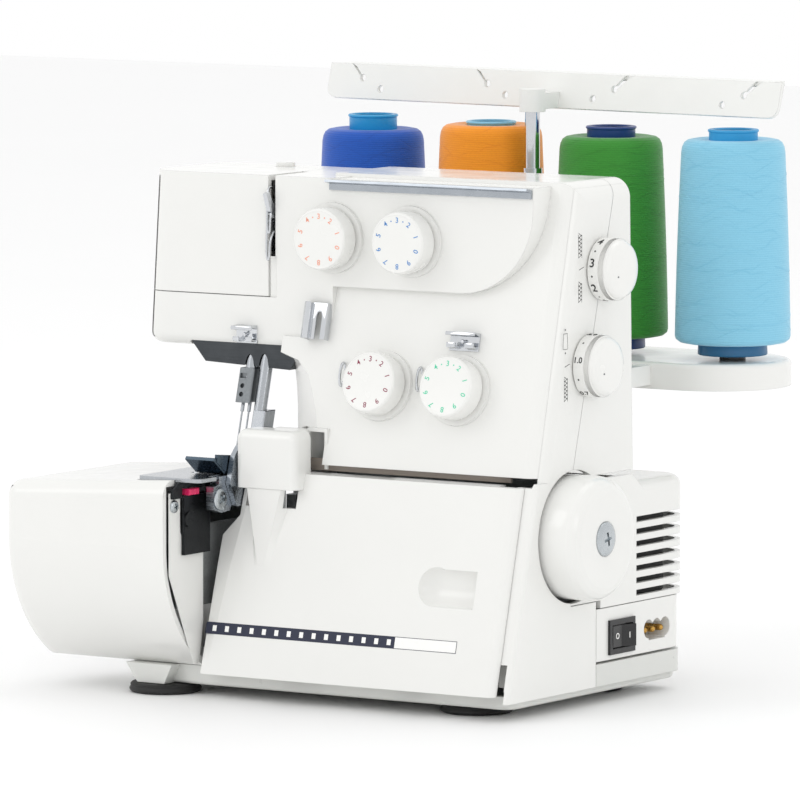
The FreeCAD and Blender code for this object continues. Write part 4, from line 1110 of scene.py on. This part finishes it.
# ---- handwheel and screws --------------------------------------------------------------------------
@dataclass
class CrossScrew:
    """A pan-head screw with a cross recess; its parts are turned, then the recess is pressed in."""

    name: str
    radius: float
    height: float
    finish_name: str = "zinc_plate"
    arm: float = 0.5
    width: float = 0.16

    def build(self, seat: Matrix, body: str, turn_deg: float = 20.0) -> bpy.types.Object:
        """Makes the head and sets it.

        Args:
            seat: where the head's underside is, with Z out of the surface.
            body: the body that it rides on.
            turn_deg: how far the cross is turned.

        Returns:
            The screw head.
        """
        r, h = self.radius, self.height
        outline = [(0, 0), (r * 0.94, 0), (r, h * 0.16), (r * 0.96, h * 0.55), (r * 0.72, h * 0.9), (0, h)]
        head = soften(turned(self.name, outline, 40), min(0.12, h * 0.1), 2, 20)
        carve(head, self.cross_cutter(h))
        settle(head, seat @ Matrix.Rotation(math.radians(turn_deg), 4, "Z"))
        return hand_over(head, self.finish_name, body, 30)

    def cross_cutter(self, height: float) -> bpy.types.Object:
        """A cross-shaped punch that tapers as it goes in."""
        a, w = self.radius * self.arm, self.radius * self.width
        quarter = [(a, -w), (a, w), (w, w)]
        corners = []
        for _ in range(4):
            corners += quarter
            quarter = [(-y, x) for x, y in quarter]
        punch = plate("punch", corners, height * 0.35, height * 1.4)
        pick_faces(punch, lambda centre, normal: normal.z < -0.9)
        with editing(punch):
            bpy.ops.transform.resize(value=(0.72, 0.72, 1), center_override=(0, 0, 0))
        return punch


@dataclass
class Handwheel:
    """The balance wheel: a smooth dished moulding with a broad rolled rim, held by a large plated screw."""

    frame: Frame
    node: str = "handwheel"
    screw_node: str = "handwheel_screw"
    dish: float = 0.7

    def build(self) -> None:
        """Builds the wheel and its screw."""
        body = self.frame.body_of[self.node]
        spindle = self.frame.spindle(self.node, "handwheel_turn", (1, 0, 0))
        wheel = settle(self.wheel(spindle), spindle.seat())
        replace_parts(hand_over(wheel, "gloss_white_abs", body, 50), self.node)
        cap = self.frame.spindle(self.screw_node, "handwheel_turn", (1, 0, 0))
        screw = CrossScrew("handwheel_screw_head", cap.radius, 2.6, arm=0.46, width=0.1)
        head = screw.build(cap.seat(cap.high - 2.6), body, 12)
        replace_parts(head, self.screw_node)

    def wheel(self, spindle: Spindle) -> bpy.types.Object:
        """Turns the wheel with a rolled rim, a shallow dish and a raised seat for its screw."""
        r, top = spindle.radius, spindle.high
        low = spindle.low
        outline = [
            (0.0, low),
            (r - 1.6, low),
            (r - 0.4, low + 1.2),
            (r, top - 9.5),
            (r - 0.5, top - 5.8),
            (r - 1.8, top - 3.0),
            (r - 4.0, top - 1.0),
            (r - 7.0, top - 0.1),
            (r - 10.0, top),
            (r - 14.0, top - self.dish * 0.4),
            (10.6, top - self.dish),
            (9.2, top - self.dish),
            (8.8, top - self.dish - 0.8),
            (0.0, top - self.dish - 0.8),
        ]
        wheel = turned(self.node + "_moulding", outline, 128)
        return soften(wheel, 0.8, 3, 12)


# ---- cones of thread -------------------------------------------------------------------------------
@dataclass
class ThreadCone:
    """A cross-wound cone: a lipped core, wound thread with soft shoulders, and a few loose lays."""

    frame: Frame
    number: int
    thread: tuple[str, str]
    top_core: str
    foot_core: str
    core_proud: float
    core_radius: float = 13.5
    strand_radius: float = 0.13
    strands: int = 9

    def build(self) -> None:
        """Builds the core, the winding and its loose strands."""
        node = f"thread_cone_{self.number}"
        body = self.frame.body_of[node]
        spindle = self.frame.spindle(node, f"cone_{self.number}_spin", (0, 0, 1))
        foot, top = spindle.low, spindle.high - self.core_proud
        seat = spindle.seat(0, (0, 1, 0))
        finish_name = f"thread_{self.number}"
        FINISHES[finish_name] = WoundThread(finish_name, *self.thread, centre=tuple(spindle.origin * MM))
        winding = settle(self.winding(spindle.radius, foot, top), seat)
        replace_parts(hand_over(winding, finish_name, body, 60), node)
        hand_over(settle(self.top(spindle.high, top), seat), self.top_core, body)
        hand_over(settle(self.base(foot), seat), self.foot_core, body)
        hand_over(settle(self.loose_lays(spindle.radius, foot, top), seat), finish_name, body, 60)

    def radius_at(self, radius: float, foot: float, top: float, height: float) -> float:
        """The winding's radius at a height: a slight taper with a faint belly."""
        part = (height - foot) / (top - foot)
        return radius - 3.6 * part + 0.5 * math.sin(math.pi * part)

    def winding(self, radius: float, foot: float, top: float) -> bpy.types.Object:
        """Turns the wound thread: undercut at its foot, rounded shoulders and a sunken crown."""
        low = foot + 6.5
        side = [
            (self.radius_at(radius, foot, top, h) - 0.25, h)
            for h in [low + 4 + (top - 7 - low - 4) * i / 8 for i in range(9)]
        ]
        edge = side[-1][0]
        outline = [
            (self.core_radius - 2.0, low),
            (side[0][0] - 6.0, low),
            (side[0][0] - 2.4, low + 0.7),
            (side[0][0] - 0.5, low + 2.2),
            *side,
            (edge - 0.5, top - 4.2),
            (edge - 1.6, top - 2.0),
            (edge - 3.4, top - 0.7),
            (edge - 6.5, top - 0.1),
            (edge - 9.0, top - 0.3),
            (self.core_radius - 2.0, top - 0.9),
        ]
        return turned(f"cone_{self.number}_winding", outline, 96)

    def top(self, high: float, crown: float) -> bpy.types.Object:
        """Turns the core's upper end, a tube with a rolled lip."""
        r = self.core_radius
        outline = [
            (r - 3.0, crown - 30.0),
            (r - 0.6, crown - 30.0),
            (r - 0.6, high - 1.6),
            (r, high - 1.2),
            (r, high - 0.4),
            (r - 0.5, high),
            (r - 2.4, high),
            (r - 3.0, high - 0.6),
            (r - 3.0, crown - 30.0),
        ]
        return soften(turned(f"cone_{self.number}_core_lip", outline, 64), 0.2, 2, 25)

    def base(self, foot: float) -> bpy.types.Object:
        """Turns the core's foot, a flange that stands on the spool pin's collar."""
        r = self.core_radius + 5.0
        outline = [
            (7.5, foot + 0.3),
            (r - 0.5, foot + 0.3),
            (r, foot + 0.8),
            (r - 0.2, foot + 5.0),
            (r - 1.0, foot + 8.0),
            (7.5, foot + 8.0),
            (7.5, foot + 0.3),
        ]
        return soften(turned(f"cone_{self.number}_core_foot", outline, 64), 0.2, 2, 25)

    def loose_lays(self, radius: float, foot: float, top: float) -> bpy.types.Object:
        """Lays a few strands that have slipped, each a long slanting arc on the winding's surface."""
        draw = random.Random(40 + self.number)
        wires = []
        for _ in range(self.strands):
            start, sweep = draw.uniform(0, math.tau), draw.uniform(1.3, 2.6)
            height, drop = draw.uniform(foot + 16, top - 14), draw.uniform(-9, 9)
            sag = draw.uniform(1.0, 4.0)
            points = []
            for i in range(18):
                part = i / 17
                level = height + drop * part - sag * math.sin(math.pi * part)
                level = min(max(level, foot + 9), top - 6)
                out = self.radius_at(radius, foot, top, level) - 0.2
                angle = start + sweep * part
                points.append(Vector((out * math.cos(angle), out * math.sin(angle), level)))
            wires.append(bent_wire("lay", points, self.strand_radius))
        return join(f"cone_{self.number}_loose_lays", wires)


# ---- thread guides ---------------------------------------------------------------------------------
@dataclass
class ThreadGuides:
    """Plated thread guides on the front: two folded plates with hooks, a keyhole channel, two slit eyes."""

    frame: Frame
    node: str = "small_thread_guides"
    sheet: float = 0.9

    def build(self) -> None:
        """Replaces the plain guides with folded and pierced ones."""
        body = self.frame.body_of[self.node]
        face = self.frame.flat("front_cover", (0, -1, 0.24), 0.9)
        parts = [
            *self.folded_plate(face, -64.5, 186.4, 13.0, -66.6),
            *self.folded_plate(face, 72.4, 189.0, 18.0, None),
            *self.slit_eye(face, 0.4, 169.0),
            *self.slit_eye(face, 48.0, 169.0),
        ]
        guides = hand_over(join("plated_thread_guides", parts), "chromed_steel", body, 30)
        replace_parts(guides, self.node)
        channel = self.channel(face, -17.6, 195.0)
        hand_over(channel, "chromed_steel", body, 30)

    def seat(self, face: Flat, x: float, z: float, front: float | None) -> Matrix:
        """A seat on the sloping face, or square on the arm's upright front when front gives its Y."""
        if front is None:
            return face.at(x, z)
        return facing(Vector((x, front, z)) * MM, Vector((0, -1, 0)), Vector((0, 0, 1)))

    def folded_plate(
        self, face: Flat, x: float, z: float, width: float, front: float | None
    ) -> list[bpy.types.Object]:
        """A plate folded forwards along its top, with an open hook cut in its lower half.

        Args:
            face: the cover's sloping front.
            x: middle of the plate.
            z: its middle height.
            width: across.
            front: Y of the upright front if it stands there, else None.

        Returns:
            The plate, its lip, its two prongs and its peg.
        """
        seat, half = self.seat(face, x, z, front), width / 2
        flange = [(0.0, -4.6), (self.sheet, -4.6), (self.sheet, 3.0)]
        lip = [(5.6, 3.9), (5.9, 2.6), (6.6, 2.8), (6.3, 4.7), (0.0, 5.0)]
        claw = [(0.6, -3.9), (5.2, -3.4), (5.4, -0.9), (4.5, -0.9), (4.3, -2.4), (0.6, -2.7)]
        sheet = plate("guide_plate", [*flange, *lip], -half, half)
        stand = Matrix(((0, 0, 1), (0, 1, 0), (1, 0, 0))).to_4x4()
        parts = [settle(soften(sheet, 0.25, 2), seat @ stand)]
        for side in (-1, 1):
            prong = plate("guide_prong", claw, -0.15 * width, 0.15 * width)
            shift = Matrix.Translation(Vector((side * width * 0.31, 0, 0)) * MM)
            parts.append(settle(soften(prong, 0.2, 2), seat @ shift @ stand))
        peg = soften(turned("guide_peg", [(0, 0.6), (1.1, 0.6), (1.1, 3.4), (0, 3.6)], 24), 0.25, 2)
        parts.append(settle(peg, seat))
        return parts

    def slit_eye(self, face: Flat, x: float, z: float) -> list[bpy.types.Object]:
        """A narrow upright eye: a flattened ring standing out of the cover."""
        turns = [math.tau * i / 14 for i in range(14)]
        points = [Vector((0, 6.2 * math.sin(t), 1.4 + 2.4 * math.cos(t))) for t in turns]
        ring = bent_wire("slit_eye", points, 0.75, closed=True)
        return [settle(ring, face.at(x, z))]

    def channel(self, face: Flat, x: float, z: float) -> bpy.types.Object:
        """A channel of folded plate with a keyhole down its front, as on the arm's root."""
        inside = [(-6.0, 0.0), (-6.0, 7.0), (-4.9, 7.6), (-3.9, 7.0), (-3.9, 4.2), (5.2, 4.2), (5.2, 0.6)]
        outside = [(6.2, 0.6), (6.2, 5.2), (-2.9, 5.2), (-2.9, 7.4), (-4.9, 8.9), (-7.0, 7.4), (-7.0, 0.0)]
        keyhole = [(-0.2, -12), (3.4, -12), (3.4, 2.6), (2.7, 4.4), (1.6, 5.0), (0.5, 4.4), (-0.2, 2.6)]
        shell = plate("guide_channel", [*inside, *outside], -9.6, 9.6)
        upright = Matrix(((1, 0, 0), (0, 0, 1), (0, 1, 0))).to_4x4()
        soften(settle(shell, upright), 0.2, 2)
        carve(shell, plate("keyhole", keyhole, 3.0, 6.5))
        with editing(shell, "FACE", True):
            bpy.ops.mesh.normals_make_consistent(inside=False)
        shell.name = "keyhole_channel_guide"
        return settle(shell, face.at(x, z))


@dataclass
class TakeUpHooks:
    """Bright wire hooks in the slot beside the face cover, through which the needle threads run."""

    frame: Frame

    def build(self) -> None:
        """Bends two hairpin wires."""
        low, high = self.frame.box("face_cover")
        x, y = high.x + 1.6, low.y - 0.2
        for n, (top, foot, out) in enumerate(((264.0, 240.0, 3.4), (247.0, 226.0, 4.4))):
            points = [
                Vector((x - 0.9, y + 2.2, top)),
                Vector((x - 0.9, y + 1.0, top + 0.5)),
                Vector((x - 0.9, y - out * 0.5, top - 1.5)),
                Vector((x - 0.9, y - out * 0.6, foot + 3)),
                Vector((x - 0.2, y - out * 0.6, foot)),
                Vector((x + 0.9, y - out * 0.6, foot + 1)),
                Vector((x + 1.1, y - out * 0.5, foot + 12)),
                Vector((x + 1.1, y + 1.6, foot + 15)),
            ]
            wire = bent_wire(f"take_up_hook_{n + 1}", points, 0.6)
            hand_over(wire, "chromed_steel", self.frame.body_of["face_cover"], 60)


def clusters(points: Sequence[Vector], reach: float) -> list[list[Vector]]:
    """Groups points that lie within reach of a group's first point, in millimetres."""
    groups: list[list[Vector]] = []
    for point in points:
        for group in groups:
            if (group[0] - point).length < reach:
                group.append(point)
                break
        else:
            groups.append([point])
    return groups


# ---- switch, screws, feet and the painted shade behind the louvres ----------------------------------
@dataclass
class MainsPanel:
    """The rocker's marks and a black sheet behind the louvres, painted shade that keeps the slots dark."""

    frame: Frame

    def build(self) -> None:
        """Prints O and I on the rocker and hangs the black sheet of painted shade."""
        low, high = self.frame.box("power_rocker")
        body = self.frame.body_of["power_rocker"]
        for name, y in (("O", low.y * 0.74 + high.y * 0.26), ("I", low.y * 0.24 + high.y * 0.76)):
            mark = lettering(f"rocker_mark_{name}", name, 3.2, 0.3)
            where = self.on_rocker(y, (low.z + high.z) / 2)
            settle(mark, facing(where, Vector((1, 0, 0)), Vector((0, 0, 1))))
            hand_over(mark, "white_label", body)
        self.hang_louvre_shade()

    def on_rocker(self, y: float, z: float) -> Vector:
        """The rocker's outermost point at y and z, in metres."""
        rocker = self.frame.nodes["power_rocker"]
        _, where, _, _ = rocker.ray_cast(Vector((1.0, y * MM, z * MM)), Vector((-1, 0, 0)))
        return where + Vector((0.02 * MM, 0, 0))

    def hang_louvre_shade(self) -> None:
        """A black sheet that follows the inside of the belt cover behind its louvres: painted shade, so that
        the slots show dark.
        """
        _, high = self.frame.box("belt_cover")
        x, y, bottom, top = high.x - 6.5, high.y - 6.5, 52.0, 98.0
        outer = [(x, 14.0), (x, y - 14), (x - 4, y - 5), (x - 14, y), (x - 32, y)]
        inner = [(x - 32, y - 1), (x - 14.4, y - 1), (x - 4.8, y - 5.6), (x - 1, y - 14.4), (x - 1, 14.0)]
        shade_sheet = plate("louvre_shade_sheet", [*outer, *inner], bottom, top)
        # the black rubber finish on this sheet is painted shade behind the louvres
        hand_over(soften(shade_sheet, 0.2, 1), "moulded_rubber", self.frame.body_of["belt_cover"])


@dataclass
class SeamShadePlate:
    """A grey plate inside the front cover's lower edge, painted shade: the colour of the shadow in the seam
    over the looper cover, so that the seam isn't a black gap.
    """

    frame: Frame
    low: tuple[float, float, float] = (-27.0, -80.8, 119.2)
    high: tuple[float, float, float] = (108.0, -79.3, 125.5)

    def build(self) -> None:
        """Fills the seam from behind with the painted shade."""
        size = [end - start for start, end in zip(self.low, self.high)]
        centre = [(end + start) / 2 for start, end in zip(self.low, self.high)]
        lip = soften(block("seam_shade_plate", size, centre), 0.3, 2)
        # the plate's grey is painted shade, the colour of the shadow in the seam
        hand_over(lip, "seam_shade_grey_abs", self.frame.body_of["front_cover"])


@dataclass
class CoverScrews:
    """Cross-head screws in place of the frame's plain heads."""

    frame: Frame
    node: str = "cover_screws"

    def build(self) -> None:
        """Finds each plain head and sets a real one on it."""
        points = [v.co / MM for v in self.frame.nodes[self.node].data.vertices]
        points.sort(key=lambda p: (round(p.y), round(p.z)))
        heads = [self.head(n, members) for n, members in enumerate(clusters(points, 9.0))]
        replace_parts(heads[0], self.node)

    def head(self, number: int, members: list[Vector]) -> bpy.types.Object:
        """Makes one head on the outer side of a group of points."""
        low = Vector([min(p[i] for p in members) for i in range(3)])
        high = Vector([max(p[i] for p in members) for i in range(3)])
        spans = high - low
        centre = (low + high) / 2
        axis = min(range(3), key=lambda i: spans[i])
        normal = Vector([1.0 if i == axis else 0.0 for i in range(3)])
        if axis == 1:
            normal.negate()
        radius = max(spans) / 2
        foot = centre - normal * spans[axis] / 2
        screw = CrossScrew(f"cross_screw_{number + 1}", radius, spans[axis], arm=0.55, width=0.15)
        seat = facing(foot * MM, normal, Vector((0, 0, 1)))
        return screw.build(seat, self.frame.body_of[self.node], 15 + 25 * number)


@dataclass
class RubberFeet:
    """Soft feet with a rounded tread and a moulded groove."""

    frame: Frame
    node: str = "rubber_feet"
    radius: float = 19.0

    def build(self) -> None:
        """Turns one foot and copies it to each corner."""
        points = [v.co / MM for v in self.frame.nodes[self.node].data.vertices]
        places = clusters([p for p in points if p.z < 0.3], 2.2 * self.radius)
        r = self.radius
        tread = [(0, 0.4), (r - 4.5, 0.4), (r - 4.0, 0.0), (r - 1.2, 0.0), (r - 0.2, 0.8), (r, 2.0)]
        groove = [(r - 0.7, 3.1), (r - 0.7, 3.7), (r - 0.4, 4.0), (r - 1.4, 5.0)]
        boss = [(9.0, 5.2), (4.8, 5.2), (4.8, 9.0), (0, 9.0)]
        first = soften(turned("foot", [*tread, *groove, *boss], 72), 0.3, 2, 25)
        feet = []
        for group in places:
            x = (min(p.x for p in group) + max(p.x for p in group)) / 2
            y = (min(p.y for p in group) + max(p.y for p in group)) / 2
            feet.append(settle(copied(first, "foot"), Matrix.Translation(Vector((x, y, 0)) * MM)))
        bpy.data.objects.remove(first)
        made = hand_over(join("grooved_feet", feet), "moulded_rubber", self.frame.body_of[self.node])
        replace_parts(made, self.node)


# ---- labels and marks ------------------------------------------------------------------------------
@dataclass
class FrontLabel:
    """A film label on the looper cover: a navy strip of white squares, then a blank framed panel."""

    frame: Frame
    node: str = "looper_cover"
    left: float = -60.0
    middle: float = 57.0
    right: float = 95.0
    low: float = 33.6
    high: float = 39.9
    squares: int = 15
    square: float = 3.0
    film: float = 0.1
    line: float = 0.3

    def build(self) -> None:
        """Lays the film, the squares and the frame."""
        face = self.frame.flat(self.node, (0, -1, 0.2))
        body = self.frame.body_of[self.node]
        height = self.high - self.low
        middle_z = (self.high + self.low) / 2
        strip = block("label_strip", (self.middle - self.left, height, self.film))
        soften(strip, 0.03, 1)
        settle(strip, face.at((self.left + self.middle) / 2, middle_z, self.film / 2))
        hand_over(strip, "navy_label", body)
        pitch = (self.middle - self.left - 1.0) / self.squares
        first = block("label_square", (self.square * 0.8, self.square, self.film))
        soften(first, 0.03, 1)
        squares = []
        for n in range(self.squares):
            one = copied(first, "label_square")
            x = self.left + 1.6 + pitch * (n + 0.5)
            squares.append(settle(one, face.at(x, middle_z, self.film * 1.5)))
        bpy.data.objects.remove(first)
        hand_over(join("label_squares", squares), "white_label", body)
        self.blank_panel(face, body, middle_z, height)

    def blank_panel(self, face: Flat, body: str, middle_z: float, height: float) -> None:
        """A white panel inside a thin navy line, left without words."""
        width = self.right - self.middle
        centre = face.at((self.right + self.middle) / 2, middle_z, self.film / 2)
        rim = block("label_frame", (width, height, self.film * 0.8))
        hand_over(settle(soften(rim, 0.02, 1), centre), "navy_label", body)
        panel = block("label_panel", (width - 2 * self.line, height - 2 * self.line, self.film * 1.6))
        hand_over(settle(soften(panel, 0.02, 1), centre), "white_label", body)


@dataclass
class SideMarks:
    """Stitch pictures and pointer lines printed on the front beside the two side dials."""

    frame: Frame
    node: str = "front_cover"
    line: float = 0.32

    def build(self) -> None:
        """Prints two pictures and a pointer for each dial."""
        face = self.frame.flat(self.node, (1, 0, 0))
        body = self.frame.body_of[self.node]
        dials_marked = (("stitch_length_dial", 6, 5), ("differential_dial", 0, 6))
        for number, (dial, tall, low) in enumerate(dials_marked):
            low_corner, high_corner = self.frame.box(dial)
            centre = (low_corner + high_corner) / 2
            front = low_corner.y
            parts = [self.bar(face, front - 4.2, centre.z + 1.5, 5.0, 15.0)]
            if tall:
                parts += self.stitches(face, front - 5.5, centre.z + 13.0, tall)
            else:
                parts += self.cloth(face, front - 6.0, centre.z + 14)
            parts += self.stitches(face, front - 5.5, centre.z - 11.0, low)
            hand_over(join(f"dial_marks_{number + 1}", parts), "black_print", body)

    def bar(
        self, face: Flat, y: float, z: float, length: float, roll: float, width: float | None = None
    ) -> bpy.types.Object:
        """A printed line whose middle is at y and z, turned by roll degrees from level."""
        line = block("print_line", (length, width or self.line, 0.08))
        soften(line, 0.02, 1)
        return settle(line, face.beside(y, z, 0.03, roll))

    def stitches(self, face: Flat, y: float, z: float, count: int) -> list[bpy.types.Object]:
        """A ladder of slanting stitches between two rails, reading upwards."""
        pitch, reach = 2.0, 3.4
        parts = []
        for n in range(count):
            rise = z + (n - (count - 1) / 2) * pitch
            parts.append(self.bar(face, y, rise, reach, 28.0))
            parts.append(self.bar(face, y, rise + pitch / 2, reach, -28.0))
        for side in (-1, 1):
            parts.append(self.bar(face, y + side * reach * 0.46, z, count * pitch, 90.0, 0.22))
        return parts

    def cloth(self, face: Flat, y: float, z: float) -> list[bpy.types.Object]:
        """An outline of a stretched piece of cloth with an arrow dot at each end."""
        parts = [self.bar(face, y + side * 2.0, z, 8.0, 90.0 + side * 4, 0.22) for side in (-1, 1)]
        parts += [self.bar(face, y, z + side * 4.0, 4.0, 0.0, 0.22) for side in (-1, 1)]
        parts += [self.bar(face, y, z + side * 6.0, 0.8, 45.0, 0.8) for side in (-1, 1)]
        return parts


def dress_frame(frame: Frame) -> None:
    """Gives every CAD node its finish."""
    for finish_name, nodes in COVERS_DRESS.items():
        for node in nodes.split():
            slots = frame.nodes[node].data.materials
            slots.clear()
            slots.append(finish(finish_name))


def dials(frame: Frame) -> list:
    """The six dials."""
    inks = (Figures.LEFT_NEEDLE, Figures.RIGHT_NEEDLE, Figures.UPPER_LOOPER, Figures.LOWER_LOOPER)
    made: list = [
        TensionDial(frame, f"tension_dial_{n}", f"tension_{n}_turn", ink) for n, ink in enumerate(inks, 1)
    ]
    made.append(
        SideDial(
            frame,
            "stitch_length_dial",
            "stitch_length_turn",
            (("4", -62.0), ("3", -14.0), ("2", 34.0), ("1", 82.0)),
            dots=(-38.0, 10.0, 58.0),
        )
    )
    made.append(
        SideDial(
            frame,
            "differential_dial",
            "differential_turn",
            (("2.0", -84.0), ("1.0", -14.0), ("0.7", 56.0)),
            figure_height=3.2,
            dots=(-50.0, 22.0),
        )
    )
    return made


def cones(frame: Frame) -> list[ThreadCone]:
    """The four cones, from the operator's left to right."""
    return [
        ThreadCone(frame, 1, ("#0a56bd", "#083f95"), "deep_blue_core_pp", "navy_core_pp", 7.5),
        ThreadCone(frame, 2, ("#f79a12", "#d97708"), "pale_blue_core_pp", "pale_blue_core_pp", 1.5),
        ThreadCone(frame, 3, ("#35912a", "#1e6a17"), "navy_core_pp", "navy_core_pp", 5.0),
        ThreadCone(frame, 4, ("#8fcfe8", "#68b2d2"), "cyan_core_pp", "teal_core_pp", 5.0),
    ]


def main() -> None:
    """Builds the looks in order."""
    logging.basicConfig(level=logging.INFO, format="%(name)s: %(message)s")
    frame = Frame.load()
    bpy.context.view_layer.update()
    dress_frame(frame)
    assemblies = [
        *dials(frame),
        Handwheel(frame),
        *cones(frame),
        ThreadGuides(frame),
        TakeUpHooks(frame),
        MainsPanel(frame),
        SeamShadePlate(frame),
        CoverScrews(frame),
        RubberFeet(frame),
        FrontLabel(frame),
        SideMarks(frame),
    ]
    for assembly in assemblies:
        log.info("building %s", type(assembly).__name__)
        assembly.build()
    Studio().build()


if __name__ == "__main__":
    main()
